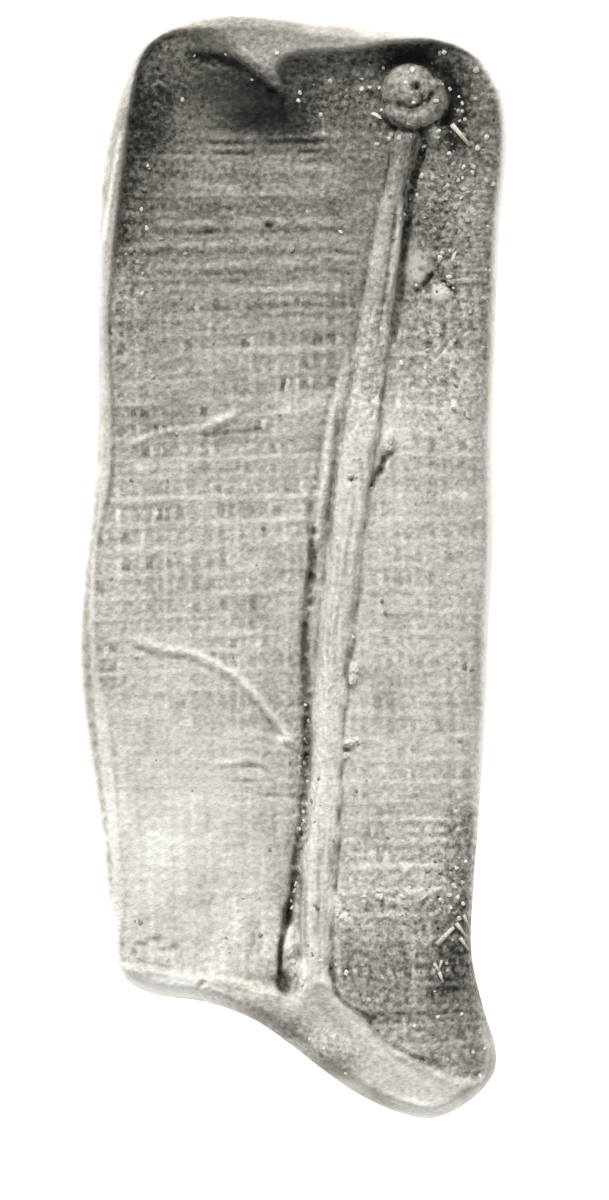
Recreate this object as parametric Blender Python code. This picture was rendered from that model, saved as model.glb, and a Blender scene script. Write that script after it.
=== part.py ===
"""Mud sealing: a slab of dried mud that was pressed over a knotted, sewn cloth.

It lies on its smooth, domed side, and the face that bears the print of the cloth looks up.
Metres, +Z up, the length along Y. The origin is under the middle of the slab's box.
"""

import bmesh
import bpy
import numpy as np

# Driving dimensions of the slab, in metres
LENGTH = 0.0840
WIDTH = 0.0328
FIELD_THICKNESS = 0.0086
SIDE_HEIGHT = 0.0056
EDGE_ROUNDING = 0.0013
BELLY_WIDTH = 0.0150
BELLY_FLAT = 0.0003
UNDERSIDE_INSET = 0.0016

# Bow of the slab: how far its two ends and its side line rise, its crown across, and its falling toe
TOP_RISE = 0.0034
FOOT_RISE = 0.0010
SIDE_RISE = 0.0015
CROWN = 0.0010
TOE_FALL = 0.0013

# Smooth lip of mud round the printed face: its height over the print, and how soft its inner edge is
SIDE_LIP_HEIGHT = 0.0010
TOP_LIP_HEIGHT = 0.0014
FOOT_LIP_HEIGHT = 0.0009
LIP_SOFTNESS = 0.0009
LOW_LIP_SHARE = 0.3

# Seam rib, the grooves beside it, and the knot that it ends in: a ball on a roll, in a ring
RIB_WIDTH = 0.0027
RIB_HEIGHT = 0.0010
GROOVE_WIDTH = 0.0008
GROOVE_DEPTH = 0.0008
KNOT_DIAMETER = 0.0043
KNOT_HEIGHT = 0.0016
KNOT_ROLL_WIDTH = 0.0019
KNOT_ROLL_HEIGHT = 0.0010
KNOT_RING_WIDTH = 0.0011
KNOT_RING_DEPTH = 0.0008
RIB_FULLNESS = 0.5
KNOT_FULLNESS = 0.7

# Hollows under the lip at the top, beside the tongue that it sends down
HOLLOW_WIDTH = 0.0085
HOLLOW_DEPTH = 0.0006

# Thumb marks on the domed side
THUMB_WIDTH = 0.0110
THUMB_DEPTH = 0.0004

# Outline, clockwise from the lower left corner. Each point is a share of half the width and of
# half the length, from the middle of the slab. A side runs to the first point of the next side.
LEFT_SIDE = (
    (-0.783, -0.742), (-0.866, -0.601), (-0.889, -0.502), (-0.939, -0.366), (-0.995, -0.240),
    (-1.000, -0.105), (-0.954, 0.049), (-0.907, 0.211), (-0.898, 0.428), (-0.894, 0.608), (-0.857, 0.780),
)
TOP_LEFT_SIDE = (
    (-0.783, 0.883), (-0.686, 0.951), (-0.515, 0.987), (-0.238, 1.000), (0.131, 0.984), (0.432, 0.977),
)
TOP_RIGHT_SIDE = ((0.649, 0.966), (0.792, 0.946), (0.903, 0.910))
RIGHT_SIDE = (
    (0.972, 0.857), (1.000, 0.771), (0.963, 0.608), (0.945, 0.428), (0.930, 0.229), (0.935, 0.040),
    (0.916, -0.096), (0.898, -0.276), (0.871, -0.439), (0.843, -0.583), (0.834, -0.700), (0.889, -0.800),
    (0.945, -0.872),
)
BOTTOM_RIGHT_SIDE = ((0.935, -0.920), (0.824, -0.969), (0.649, -1.000), (0.478, -0.987), (0.317, -0.958))
BOTTOM_LEFT_SIDE = ((0.154, -0.915), (-0.007, -0.866), (-0.192, -0.818), (-0.423, -0.787), (-0.654, -0.774))

# Lines and places of the printed face, in the same shares. The rib runs from its foot to its head.
RIB_LINE = (
    (0.154, -0.915), (0.113, -0.782), (0.109, -0.637), (0.145, -0.457), (0.173, -0.240), (0.224, -0.042),
    (0.266, 0.130), (0.323, 0.301), (0.404, 0.482), (0.460, 0.653), (0.517, 0.771), (0.557, 0.847),
    (0.649, 0.966),
)
PRINT_EDGE = (
    (-0.788, -0.716), (-0.774, -0.601), (-0.811, -0.421), (-0.848, -0.276), (-0.885, -0.204), (-0.910, -0.096),
    (-0.903, 0.031), (-0.838, 0.157), (-0.827, 0.247), (-0.843, 0.464), (-0.775, 0.717), (-0.716, 0.886),
    (-0.650, 0.939), (-0.524, 0.964), (-0.386, 0.955), (-0.275, 0.921), (-0.159, 0.881), (-0.044, 0.857),
    (-0.065, 0.894), (-0.010, 0.919), (0.270, 0.930), (0.501, 0.944), (0.709, 0.942), (0.889, 0.901),
    (0.963, 0.789), (0.921, 0.482), (0.903, 0.121), (0.871, -0.240), (0.806, -0.601), (0.806, -0.727),
    (0.889, -0.863), (0.871, -0.930), (0.594, -0.897), (0.363, -0.832), (0.247, -0.782), (0.141, -0.742),
    (0.025, -0.767), (-0.076, -0.768), (-0.289, -0.750), (-0.501, -0.735), (-0.677, -0.724),
)
KNOT_PLACE = (0.543, 0.857)
KNOT_ROLL = ((0.469, 0.824), (0.500, 0.812), (0.552, 0.808), (0.621, 0.818), (0.665, 0.836), (0.651, 0.860))
HOLLOW_PLACES = ((-0.424, 0.850), (-0.151, 0.780), (0.202, 0.850))
HOLLOW_SQUASH = 1.5
THUMB_SIDES = (-0.52, 0.50)
THUMB_SPAN = (-0.78, 0.95)
THUMB_PITCH = 0.36

# Where forms begin and end, in the same shares
LOW_PLACE = -0.15
CROWN_SPAN = (0.25, -0.45)
CROWN_LINE = 0.10
TOE_SPAN = (-0.15, -0.75)
TOE_SIDE = (0.25, 0.95)
TOP_SPAN = (0.75, 0.92)
FOOT_SPAN = (-0.62, -0.74)
SIDE_LIP_SPAN = (-0.10, 0.60)
LEFT_LIP_SPAN = (0.60, -0.60)

# Where along the rib, as shares of its length, its width changes, and to how much of RIB_WIDTH
RIB_STATIONS = (0.00, 0.06, 0.075, 0.10, 0.20, 0.30, 0.42, 0.50, 0.57, 0.60, 0.70, 0.79, 0.825, 0.84, 0.90)
RIB_BREADTHS = (3.00, 1.85, 1.15, 0.86, 0.98, 0.88, 1.00, 0.98, 1.06, 1.14, 0.94, 0.80, 0.76, 0.56, 0.58)
RIB_SPAN = (0.03, 0.10, 0.92, 0.96)
LEFT_GROOVE_SPAN = (0.06, 0.11, 0.40, 0.68)
RIGHT_GROOVE_SPAN = (0.70, 0.76, 0.88, 0.92)

# How far towards the upper right, in radii of the knot's ball, the ring round the knot comes in
KNOT_RING_OPENING = (-0.5, 0.5)

# Mesh lattice: cells left and right of the rib, along it and down the side, and how they crowd to the rims
LEFT_CELLS = 12
RIGHT_CELLS = 7
LENGTH_CELLS = 48
SIDE_CELLS = 3
FACE_CUTS = 1
ACROSS_CROWDING = 0.50
ALONG_CROWDING = 0.65
CURVE_SAMPLES = 12
NEAR = 1e-4


def clear_scene():
    for old in list(bpy.data.objects):
        bpy.data.objects.remove(old, do_unlink=True)


def on_slab(shares):
    """Points given as shares of half the width and length, in metres."""
    return np.asarray(shares, float) * (WIDTH / 2, LENGTH / 2)


def smooth_step(low, high, value):
    t = np.clip((value - low) / (high - low), 0.0, 1.0)
    return t * t * (3.0 - 2.0 * t)


def curve_through(points, closed=False):
    """A smooth line through the points, as a list of sampled stretches, one between each two points."""
    points = np.asarray(points, float)
    if closed:
        points = np.vstack((points[-1:], points, points[:2]))
    else:
        points = np.vstack((2 * points[:1] - points[1:2], points, 2 * points[-1:] - points[-2:-1]))
    knots = np.concatenate(((0.0,), np.cumsum(np.hypot(*np.diff(points, axis=0).T))))
    slopes = (points[2:] - points[:-2]) / (knots[2:] - knots[:-2])[:, None]
    s = np.linspace(0.0, 1.0, CURVE_SAMPLES + 1)[:, None]
    stretches = []
    for i in range(1, len(points) - 2):
        reach = knots[i + 1] - knots[i]
        stretches.append(
            (1 + 2 * s) * (1 - s) ** 2 * points[i] + s ** 2 * (3 - 2 * s) * points[i + 1]
            + reach * s * (1 - s) ** 2 * slopes[i - 1] + reach * s ** 2 * (s - 1) * slopes[i]
        )
    return stretches


def join(stretches):
    """One polyline out of sampled stretches."""
    return np.vstack([piece[:-1] for piece in stretches] + [stretches[-1][-1:]])


def walk(line, share):
    """The point at each share of a polyline's length."""
    run = np.concatenate(((0.0,), np.cumsum(np.hypot(*np.diff(line, axis=0).T))))
    at = share * run[-1]
    return np.stack((np.interp(at, run, line[:, 0]), np.interp(at, run, line[:, 1])), axis=-1)


def trace(line, x, y):
    """Distance to a polyline, share of its length at the nearest point, and 1 or -1 for right or left."""
    starts, steps = line[:-1], np.diff(line, axis=0)
    lengths = np.hypot(*steps.T)
    run = np.concatenate(((0.0,), np.cumsum(lengths)))
    best = np.full(x.shape, np.inf)
    share = np.zeros(x.shape)
    hand = np.ones(x.shape)
    for start, step, length, before in zip(starts, steps, lengths, run):
        dx, dy = x - start[0], y - start[1]
        t = np.clip((dx * step[0] + dy * step[1]) / length ** 2, 0.0, 1.0)
        distance = np.hypot(dx - t * step[0], dy - t * step[1])
        nearer = distance < best
        best = np.where(nearer, distance, best)
        share = np.where(nearer, (before + t * length) / run[-1], share)
        hand = np.where(nearer, np.where(dx * step[1] - dy * step[0] > 0, 1.0, -1.0), hand)
    return best, share, hand


def outline_sides():
    """The six stretches of the outline, each a polyline, and the whole closed outline."""
    parts = (LEFT_SIDE, TOP_LEFT_SIDE, TOP_RIGHT_SIDE, RIGHT_SIDE, BOTTOM_RIGHT_SIDE, BOTTOM_LEFT_SIDE)
    stretches = curve_through(on_slab([point for part in parts for point in part]), closed=True)
    sides = []
    first = 0
    for part in parts:
        sides.append(join(stretches[first:first + len(part)]))
        first += len(part)
    return sides, join(stretches)


SIDES, OUTLINE = outline_sides()
RIB = join(curve_through(on_slab(RIB_LINE)))
PRINT = join(curve_through(on_slab(PRINT_EDGE), closed=True))
ROLL = join(curve_through(on_slab(KNOT_ROLL)))


def coons_patch(foot, head, left, right, s, t):
    """A net stretched between four polylines, at the shares s across and t along."""
    s1, t1 = s[:, None], t[:, None]
    edges = (1 - t1) * walk(foot, s) + t1 * walk(head, s) + (1 - s1) * walk(left, t) + s1 * walk(right, t)
    foot_corners = (1 - s1) * foot[0] + s1 * foot[-1]
    head_corners = (1 - s1) * head[0] + s1 * head[-1]
    return edges - (1 - t1) * foot_corners - t1 * head_corners


def crowd(share, amount):
    """Moves shares from 0 to 1 closer to both ends, where the rim, the rib and the knot are."""
    return share - amount * np.sin(2 * np.pi * share) / (2 * np.pi)


def spread(u, v):
    """Places on the slab of the lattice points u across and v along, two panels that meet on the rib."""
    left, top_left, top_right, right, bottom_right, bottom_left = SIDES
    seam = LEFT_CELLS / (LEFT_CELLS + RIGHT_CELLS)
    left_share = crowd(np.clip(u / seam, 0, 1), ACROSS_CROWDING)
    right_share = crowd(np.clip((u - seam) / (1 - seam), 0, 1), ACROSS_CROWDING)
    along = crowd(v, ALONG_CROWDING)
    left_panel = coons_patch(bottom_left[::-1], top_left, left, RIB, left_share, along)
    right_panel = coons_patch(bottom_right[::-1], top_right, RIB, right[::-1], right_share, along)
    return np.where((u < seam)[:, None], left_panel, right_panel)


def climb(y):
    """How far each end has bowed up, from 0 at the low place to 1 at the top end and at the foot."""
    along = y / (LENGTH / 2)
    top = np.clip((along - LOW_PLACE) / (1 - LOW_PLACE), 0, 1) ** 2
    foot = np.clip((LOW_PLACE - along) / (1 + LOW_PLACE), 0, 1) ** 2
    return top, foot


def field(x, y):
    """The printed face: bowed along its length, crowned across its lower half, and falling at the toe."""
    along = y / (LENGTH / 2)
    across = x / (WIDTH / 2)
    top, foot = climb(y)
    crown = CROWN * smooth_step(*CROWN_SPAN, along) * (across - CROWN_LINE) ** 2
    toe = TOE_FALL * smooth_step(*TOE_SPAN, along) * smooth_step(*TOE_SIDE, across)
    return FIELD_THICKNESS + TOP_RISE * top + FOOT_RISE * foot - crown - toe


def hollows(x, y):
    """Shallow hollows in the print, on both sides of the lip's tongue and below it."""
    depth = np.zeros(x.shape)
    for place in on_slab(HOLLOW_PLACES):
        away = np.hypot(x - place[0], (y - place[1]) * HOLLOW_SQUASH) / (HOLLOW_WIDTH / 2)
        depth = np.maximum(depth, HOLLOW_DEPTH * np.exp(-away ** 2))
    return depth


def lip(x, y):
    """The lip outside the printed face, high at the top and the foot, and low at the right."""
    along = y / (LENGTH / 2)
    leftward = smooth_step(*LEFT_LIP_SPAN, x / (WIDTH / 2))
    upward = smooth_step(*SIDE_LIP_SPAN, along)
    height = SIDE_LIP_HEIGHT * np.ones(x.shape)
    for share in (leftward, upward):
        height *= LOW_LIP_SHARE + (1 - LOW_LIP_SHARE) * share
    for end_height, span in ((TOP_LIP_HEIGHT, TOP_SPAN), (FOOT_LIP_HEIGHT, FOOT_SPAN)):
        height += (end_height - height) * smooth_step(*span, along)
    distance, _, hand = trace(PRINT, x, y)
    return height * smooth_step(-LIP_SOFTNESS, LIP_SOFTNESS, -hand * distance)


def window(span, share):
    """Rises between the first two shares of the span and fades between the last two."""
    return smooth_step(span[0], span[1], share) * smooth_step(span[3], span[2], share)


def rib(x, y):
    """The seam rib, with the groove at its left in the lower half and at its right near the knot."""
    distance, share, hand = trace(RIB, x, y)
    half = RIB_WIDTH / 2 * np.interp(share, RIB_STATIONS, RIB_BREADTHS)
    ridge = RIB_HEIGHT * np.clip(1 - (distance / half) ** 2, 0, 1) ** RIB_FULLNESS * window(RIB_SPAN, share)
    beside = hand * distance
    left = np.exp(-((beside + half + GROOVE_WIDTH / 2) / GROOVE_WIDTH) ** 2)
    right = np.exp(-((beside - half - GROOVE_WIDTH) / GROOVE_WIDTH) ** 2)
    grooves = left * window(LEFT_GROOVE_SPAN, share) + right * window(RIGHT_GROOVE_SPAN, share)
    return ridge - GROOVE_DEPTH * grooves


def domed(outside, radius, height):
    """A round dome inside a line, by the distance outside the line."""
    return height * np.clip(1 - np.clip(1 + outside / radius, 0, 1) ** 2, 0, 1) ** KNOT_FULLNESS


def knot(x, y):
    """A ball of mud on a thick roll, in a shallow ring that is open at the lower left."""
    centre = on_slab(KNOT_PLACE)
    ball = np.hypot(x - centre[0], y - centre[1]) - KNOT_DIAMETER / 2
    roll = trace(ROLL, x, y)[0] - KNOT_ROLL_WIDTH / 2
    lump = np.maximum(
        domed(ball, KNOT_DIAMETER / 2, KNOT_HEIGHT), domed(roll, KNOT_ROLL_WIDTH / 2, KNOT_ROLL_HEIGHT)
    )
    away = np.minimum(ball, roll)
    upper_right = (x - centre[0] + y - centre[1]) / (KNOT_DIAMETER / 2)
    ring = np.exp(-((away - KNOT_RING_WIDTH / 2) / (KNOT_RING_WIDTH / 2)) ** 2)
    return lump - KNOT_RING_DEPTH * ring * smooth_step(*KNOT_RING_OPENING, upper_right)


def side_line(y):
    """Height of the widest line round the side."""
    return SIDE_HEIGHT + SIDE_RISE * climb(y)[0]


def printed_face(x, y):
    """Height of the upper face, rounded over to the side line at the outline."""
    surface = field(x, y) - hollows(x, y) + lip(x, y) + rib(x, y) + knot(x, y)
    inside = np.clip(trace(OUTLINE, x, y)[0] / EDGE_ROUNDING, 0, 1)
    side = side_line(y)
    return side + (surface - side) * np.sqrt(1 - (1 - inside) ** 2)


def thumb_marks(x, y):
    """Two staggered rows of shallow thumb marks that smoothed the domed side."""
    marks = np.zeros(x.shape)
    for row, across in enumerate(THUMB_SIDES):
        for along in np.arange(*THUMB_SPAN, THUMB_PITCH) + row * THUMB_PITCH / 2:
            place = on_slab((across, along))
            away = np.hypot(x - place[0], y - place[1]) / (THUMB_WIDTH / 2)
            marks = np.maximum(marks, THUMB_DEPTH * np.clip(1 - away ** 2, 0, 1) ** 2)
    return marks


def domed_side(x, y):
    """Height of the underside: upright at the side line, round below, and flat where it rests."""
    inside = np.clip(trace(OUTLINE, x, y)[0] / BELLY_WIDTH, 0, 1)
    dome = (side_line(y) + BELLY_FLAT) * (1 - np.sqrt(1 - (1 - inside) ** 2)) - BELLY_FLAT
    return np.clip(dome + thumb_marks(x, y) * smooth_step(0.0, BELLY_FLAT, dome), 0, None)


def shape_lattice(lattice):
    """Turns the unit cube's lattice points into points of the sealing."""
    u, v, w = (lattice + 0.5).T
    flat = spread(u, v)
    inset = UNDERSIDE_INSET * (1 - np.sqrt(1 - (1 - w) ** 2))
    x, y = (flat * (1 - 2 * inset[:, None] / (WIDTH, LENGTH))).T
    upper = w > 1 - NEAR
    z = np.where(upper, printed_face(x, y), domed_side(x, y))
    return np.column_stack((x, y, z))


def cut_along(bm, axis, cuts):
    """Cuts a block into even slices along one axis."""
    edges = [edge for edge in bm.edges if abs(edge.verts[0].co[axis] - edge.verts[1].co[axis]) > NEAR]
    bmesh.ops.subdivide_edges(bm, edges=edges, cuts=cuts, use_grid_fill=True)


def lattice_block():
    """A unit cube cut into the lattice, with finer cells on its upper face."""
    bm = bmesh.new()
    bmesh.ops.create_cube(bm, size=1.0)
    cut_along(bm, 0, LEFT_CELLS + RIGHT_CELLS - 1)
    cut_along(bm, 1, LENGTH_CELLS - 1)
    cut_along(bm, 2, SIDE_CELLS - 1)
    upper = [edge for edge in bm.edges if min(vert.co.z for vert in edge.verts) > 0.5 - NEAR]
    bmesh.ops.subdivide_edges(bm, edges=upper, cuts=FACE_CUTS, use_grid_fill=True)
    return bm


def dried_mud():
    material = bpy.data.materials.new("dried_mud")
    material.use_nodes = True
    shader = material.node_tree.nodes["Principled BSDF"]
    shader.inputs["Base Color"].default_value = (0.40, 0.385, 0.36, 1.0)
    shader.inputs["Roughness"].default_value = 0.9
    shader.inputs["Metallic"].default_value = 0.0
    return material


def sealing():
    """The whole sealing, one closed body."""
    bm = lattice_block()
    points = shape_lattice(np.array([vert.co[:] for vert in bm.verts]))
    middle = (points[:, :2].min(axis=0) + points[:, :2].max(axis=0)) / 2
    points[:, :2] -= middle
    for vert, point in zip(bm.verts, points):
        vert.co = point
    bmesh.ops.triangulate(bm, faces=bm.faces)
    bmesh.ops.recalc_face_normals(bm, faces=bm.faces)
    mesh = bpy.data.meshes.new("sealing")
    bm.to_mesh(mesh)
    bm.free()
    mesh.shade_smooth()
    mesh.materials.append(dried_mud())
    return bpy.data.objects.new("sealing", mesh)


def main():
    clear_scene()
    collection = bpy.data.collections.new("mud_sealing")
    bpy.context.scene.collection.children.link(collection)
    collection.objects.link(sealing())


main()
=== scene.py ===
"""Looks of the mud sealing: dried mud with the print of a sewn, knotted cloth, seen from straight above."""

import math

import bmesh
import bpy
import numpy as np
from mathutils import Matrix, Vector


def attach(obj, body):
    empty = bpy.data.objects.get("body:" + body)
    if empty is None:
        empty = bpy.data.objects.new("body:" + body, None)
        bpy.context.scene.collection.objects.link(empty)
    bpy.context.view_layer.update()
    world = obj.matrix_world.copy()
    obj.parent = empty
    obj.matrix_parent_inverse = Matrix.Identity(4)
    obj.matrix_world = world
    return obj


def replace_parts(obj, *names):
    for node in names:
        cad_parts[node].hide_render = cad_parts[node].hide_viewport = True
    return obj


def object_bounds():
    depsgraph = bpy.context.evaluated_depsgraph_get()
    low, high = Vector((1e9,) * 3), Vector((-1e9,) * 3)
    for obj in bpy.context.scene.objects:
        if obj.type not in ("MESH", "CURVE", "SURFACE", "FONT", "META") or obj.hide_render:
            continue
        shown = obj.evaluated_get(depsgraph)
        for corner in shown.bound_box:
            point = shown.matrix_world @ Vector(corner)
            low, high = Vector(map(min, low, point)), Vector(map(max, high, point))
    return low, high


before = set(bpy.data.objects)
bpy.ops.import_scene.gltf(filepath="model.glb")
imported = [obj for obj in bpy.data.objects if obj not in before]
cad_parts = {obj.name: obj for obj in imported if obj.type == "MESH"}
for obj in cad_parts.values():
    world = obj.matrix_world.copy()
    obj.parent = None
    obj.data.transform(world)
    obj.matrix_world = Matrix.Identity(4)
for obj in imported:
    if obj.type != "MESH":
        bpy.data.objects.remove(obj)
CAD_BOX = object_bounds()

MM = 0.001

# The frame gives the slab's length and width. The outline's curve swells a little past its points.
CAD_SIZE = [high - low for low, high in zip(*CAD_BOX)]
OUTLINE_SWELL = 1.0019
WIDTH = CAD_SIZE[0] / OUTLINE_SWELL
LENGTH = CAD_SIZE[1]

# Heights and widths of the solid
FIELD_THICKNESS = 8.6 * MM
SIDE_HEIGHT = 5.6 * MM
EDGE_ROUNDING = 1.3 * MM
BELLY_WIDTH = 15.0 * MM
BELLY_FLAT = 0.3 * MM
UNDERSIDE_INSET = 1.6 * MM
TOP_RISE = 3.4 * MM
FOOT_RISE = 1.0 * MM
SIDE_RISE = 1.5 * MM
CROWN = 1.0 * MM
TOE_FALL = 1.3 * MM
SIDE_LIP_HEIGHT = 1.0 * MM
TOP_LIP_HEIGHT = 1.4 * MM
FOOT_LIP_HEIGHT = 0.9 * MM
LIP_SOFTNESS = 0.25 * MM
LOW_LIP_SHARE = 0.3
RIB_WIDTH = 2.7 * MM
RIB_HEIGHT = 1.0 * MM
GROOVE_WIDTH = 0.8 * MM
GROOVE_DEPTH = 0.8 * MM
KNOT_DIAMETER = 4.3 * MM
KNOT_HEIGHT = 1.6 * MM
KNOT_ROLL_WIDTH = 1.9 * MM
KNOT_ROLL_HEIGHT = 1.0 * MM
KNOT_RING_DEPTH = 0.7 * MM
KNOT_RING_WIDTH = 0.8 * MM
KNOT_MEETING = (-0.3 * MM, 0.3 * MM)
RIB_FULLNESS = 0.5
KNOT_FULLNESS = 0.7
HOLLOW_WIDTH = 8.5 * MM
HOLLOW_DEPTH = 0.6 * MM
THUMB_WIDTH = 11.0 * MM
THUMB_DEPTH = 0.4 * MM

# Outline, clockwise from the lower left corner. Each point is a share of half the width and of
# half the length, from the middle of the slab. A side runs to the first point of the next side.
LEFT_SIDE = (
    (-0.783, -0.742), (-0.866, -0.601), (-0.889, -0.502), (-0.939, -0.366), (-0.995, -0.240),
    (-1.000, -0.105), (-0.954, 0.049), (-0.907, 0.211), (-0.898, 0.428), (-0.894, 0.608), (-0.857, 0.780),
)
TOP_LEFT_SIDE = (
    (-0.783, 0.883), (-0.686, 0.951), (-0.515, 0.987), (-0.238, 1.000), (0.131, 0.984), (0.432, 0.977),
)
TOP_RIGHT_SIDE = ((0.649, 0.966), (0.792, 0.946), (0.903, 0.910))
RIGHT_SIDE = (
    (0.972, 0.857), (1.000, 0.771), (0.963, 0.608), (0.945, 0.428), (0.930, 0.229), (0.935, 0.040),
    (0.916, -0.096), (0.898, -0.276), (0.871, -0.439), (0.843, -0.583), (0.834, -0.700), (0.889, -0.800),
    (0.945, -0.872),
)
BOTTOM_RIGHT_SIDE = ((0.935, -0.920), (0.824, -0.969), (0.649, -1.000), (0.478, -0.987), (0.317, -0.958))
BOTTOM_LEFT_SIDE = ((0.154, -0.915), (-0.007, -0.866), (-0.192, -0.818), (-0.423, -0.787), (-0.654, -0.774))
RIB_LINE = (
    (0.154, -0.915), (0.113, -0.782), (0.109, -0.637), (0.145, -0.457), (0.173, -0.240), (0.224, -0.042),
    (0.266, 0.130), (0.323, 0.301), (0.404, 0.482), (0.460, 0.653), (0.517, 0.771), (0.557, 0.847),
    (0.649, 0.966),
)
PRINT_EDGE = (
    (-0.788, -0.716), (-0.774, -0.601), (-0.811, -0.421), (-0.848, -0.276), (-0.885, -0.204),
    (-0.910, -0.096), (-0.903, 0.031), (-0.838, 0.157), (-0.827, 0.247), (-0.843, 0.464), (-0.775, 0.717),
    (-0.716, 0.886), (-0.650, 0.939), (-0.524, 0.964), (-0.386, 0.955), (-0.275, 0.921), (-0.159, 0.881),
    (-0.044, 0.857), (-0.065, 0.894), (-0.010, 0.919), (0.270, 0.930), (0.501, 0.944), (0.709, 0.942),
    (0.889, 0.901), (0.963, 0.789), (0.921, 0.482), (0.903, 0.121), (0.871, -0.240), (0.806, -0.601),
    (0.806, -0.727), (0.889, -0.863), (0.871, -0.930), (0.594, -0.897), (0.363, -0.832), (0.247, -0.782),
    (0.141, -0.742), (0.025, -0.767), (-0.076, -0.768), (-0.289, -0.750), (-0.501, -0.735), (-0.677, -0.724),
)
KNOT_PLACE = (0.543, 0.857)
KNOT_ROLL = ((0.469, 0.824), (0.500, 0.812), (0.552, 0.808), (0.621, 0.818), (0.665, 0.836), (0.651, 0.860))
HOLLOW_PLACES = ((-0.424, 0.850), (-0.151, 0.780), (0.202, 0.850))
HOLLOW_SQUASH = 1.5
THUMB_SIDES = (-0.52, 0.50)
THUMB_SPAN = (-0.78, 0.95)
THUMB_PITCH = 0.36

# Where forms begin and end, in the same shares
LOW_PLACE = -0.15
CROWN_SPAN = (0.25, -0.45)
CROWN_LINE = 0.10
TOE_SPAN = (-0.15, -0.75)
TOE_SIDE = (0.25, 0.95)
TOP_SPAN = (0.75, 0.92)
FOOT_SPAN = (-0.62, -0.74)
SIDE_LIP_SPAN = (-0.10, 0.60)
LEFT_LIP_SPAN = (0.60, -0.60)

# Where along the rib, as shares of its length, its width changes, and to how much of RIB_WIDTH
RIB_STATIONS = (0.00, 0.06, 0.075, 0.10, 0.20, 0.30, 0.42, 0.50, 0.57, 0.60, 0.70, 0.79, 0.825, 0.84, 0.90)
RIB_BREADTHS = (3.00, 1.85, 1.15, 0.86, 0.98, 0.88, 1.00, 0.98, 1.06, 1.14, 0.94, 0.80, 0.76, 0.56, 0.58)
RIB_SPAN = (0.03, 0.10, 0.92, 0.96)
LEFT_GROOVE_SPAN = (0.06, 0.11, 0.40, 0.68)
RIGHT_GROOVE_SPAN = (0.70, 0.76, 0.88, 0.92)
KNOT_RING_OPENING = (-0.5, 0.5)

# The soft place of the lip, left of its tongue: the middle and half widths in mm, and how much softer it is
SOFT_LIP_PLACE = (-5.8, 39.3, 2.2, 1.8)
SOFT_LIP_GAIN = 4.0

# At the right the print runs out to a narrow rim: where it does across and along, and where the rim begins
RUN_OUT_SIDE = (0.55, 0.75)
RUN_OUT_SPAN = (-0.90, -0.75, 0.70, 0.90)
RIM_WIDTH = 0.8 * MM
RIM_START = (-0.45, -0.05)

# The mud's finish: sizes in mm of its grains, specks and clouds, and how much each changes the tone
# Silt is too fine to show, so its grains are drawn as coarse as sand. A range is the stretch of a noise
# that shows. The specks' radii are shares of their pitch.
GRAIN_SIZE = 0.38
GRAIN_RANGE = (0.36, 0.64)
GRAIN_CONTRAST = 0.05
GRIT_CONTRAST = 0.19
SPECK_PITCH = 0.85
SPECK_RADII = (0.10, 0.19)
SPECK_TONES = (-0.60, 0.62)
CLOUD_SIZE = 2.5
CLOUD_RANGE = (0.3, 0.7)
CLOUD_TONE = 0.05
BUMP_HEIGHT = 0.10
BASE_LEVEL = 0.60
LEVEL_RANGE = (-0.25, 1.15)
MUD_COLOURS = (
    (0.0, "#24221F"), (0.18, "#45423E"), (0.43, "#86827A"), (0.64, "#B5B1A8"), (0.89, "#E6E2DA"),
    (1.0, "#FBF9F4"),
)

# Lime and straw: sizes in mm of the lime's unevenness and the straw's fibres, and their colours
# Both are finer on the real piece, and are drawn as coarse as they need to show.
LIME_GRIT_SIZE = 0.25
LIME_UNEVENNESS = 0.8
LIME_COLOURS = ((0.0, "#7E7A72"), (0.5, "#B9B5AC"), (1.0, "#F4F2EC"))
FIBRE_SIZE = 0.12
STRAW_COLOURS = ((0.30, "#A9A396"), (0.55, "#E3DDCF"))

# Stage: a pale floor, a soft key light from the slab's top end, and a soft sky all round
CAMERA_HEIGHT = 0.80
CAMERA_AIM = (0.99 * MM, -2.50 * MM, 10.0 * MM)
VIEW_HEIGHT = 90.97 * MM
KEY_DIRECTION = (-0.30, 1.00, 0.78)
KEY_DISTANCE = 1.30
KEY_WIDTH = 0.65
KEY_POWER = 17.0
SKY_COLOUR = "#FFFFFF"
SKY_STRENGTH = 0.40
FLOOR_SIZE = 8.0
FLOOR_COLOUR = "#F4F4F2"
FLOOR_GLOW = 0.75

# Mesh lattice, fine enough on the printed face to carry each thread
LEFT_CELLS = 23
RIGHT_CELLS = 11
LENGTH_CELLS = 104
SIDE_CELLS = 8
FACE_CUTS = 4
CROWDING = 0.12
CURVE_SAMPLES = 12
NEAR = 1e-4

# Half the size of a unit block or ball, before it is shaped
UNIT_HALF = 0.5

# The cloth's print: the spacing of its threads, how uneven it is, and how they slant
WEFT_PITCH = 0.82 * MM
WARP_PITCH = 0.88 * MM
THREAD_UNEVENNESS = 0.32
THREAD_COVER = 1.4
WEFT_SLANT = 0.035
WEFT_SLANT_SPAN = (-0.45, -0.05, 0.35, 0.75)
WEFT_SLANT_SIDE = (0.45, 0.20)
WARP_SLANT = 0.02

# Heights of its threads, and depths of the pits between strong wefts and of the slots between all wefts
WEFT_HEIGHT = 0.075 * MM
WARP_HEIGHT = 0.07 * MM
PIT_DEPTH = 0.13 * MM
SLOT_DEPTH = 0.13 * MM

# How much stronger every other thread is, and the least and the most that threads and clearness come to
THREAD_ALTERNATION = 0.22
THREAD_STRENGTHS = (0.05, 1.3)
CLEARNESS = (0.1, 1.3)

# Where gaps between warps and rows between strong wefts begin and are full, in pitches from the thread
GAP_SPAN = (0.16, 0.36)
ROW_SPAN = (0.35, 0.70)

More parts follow.
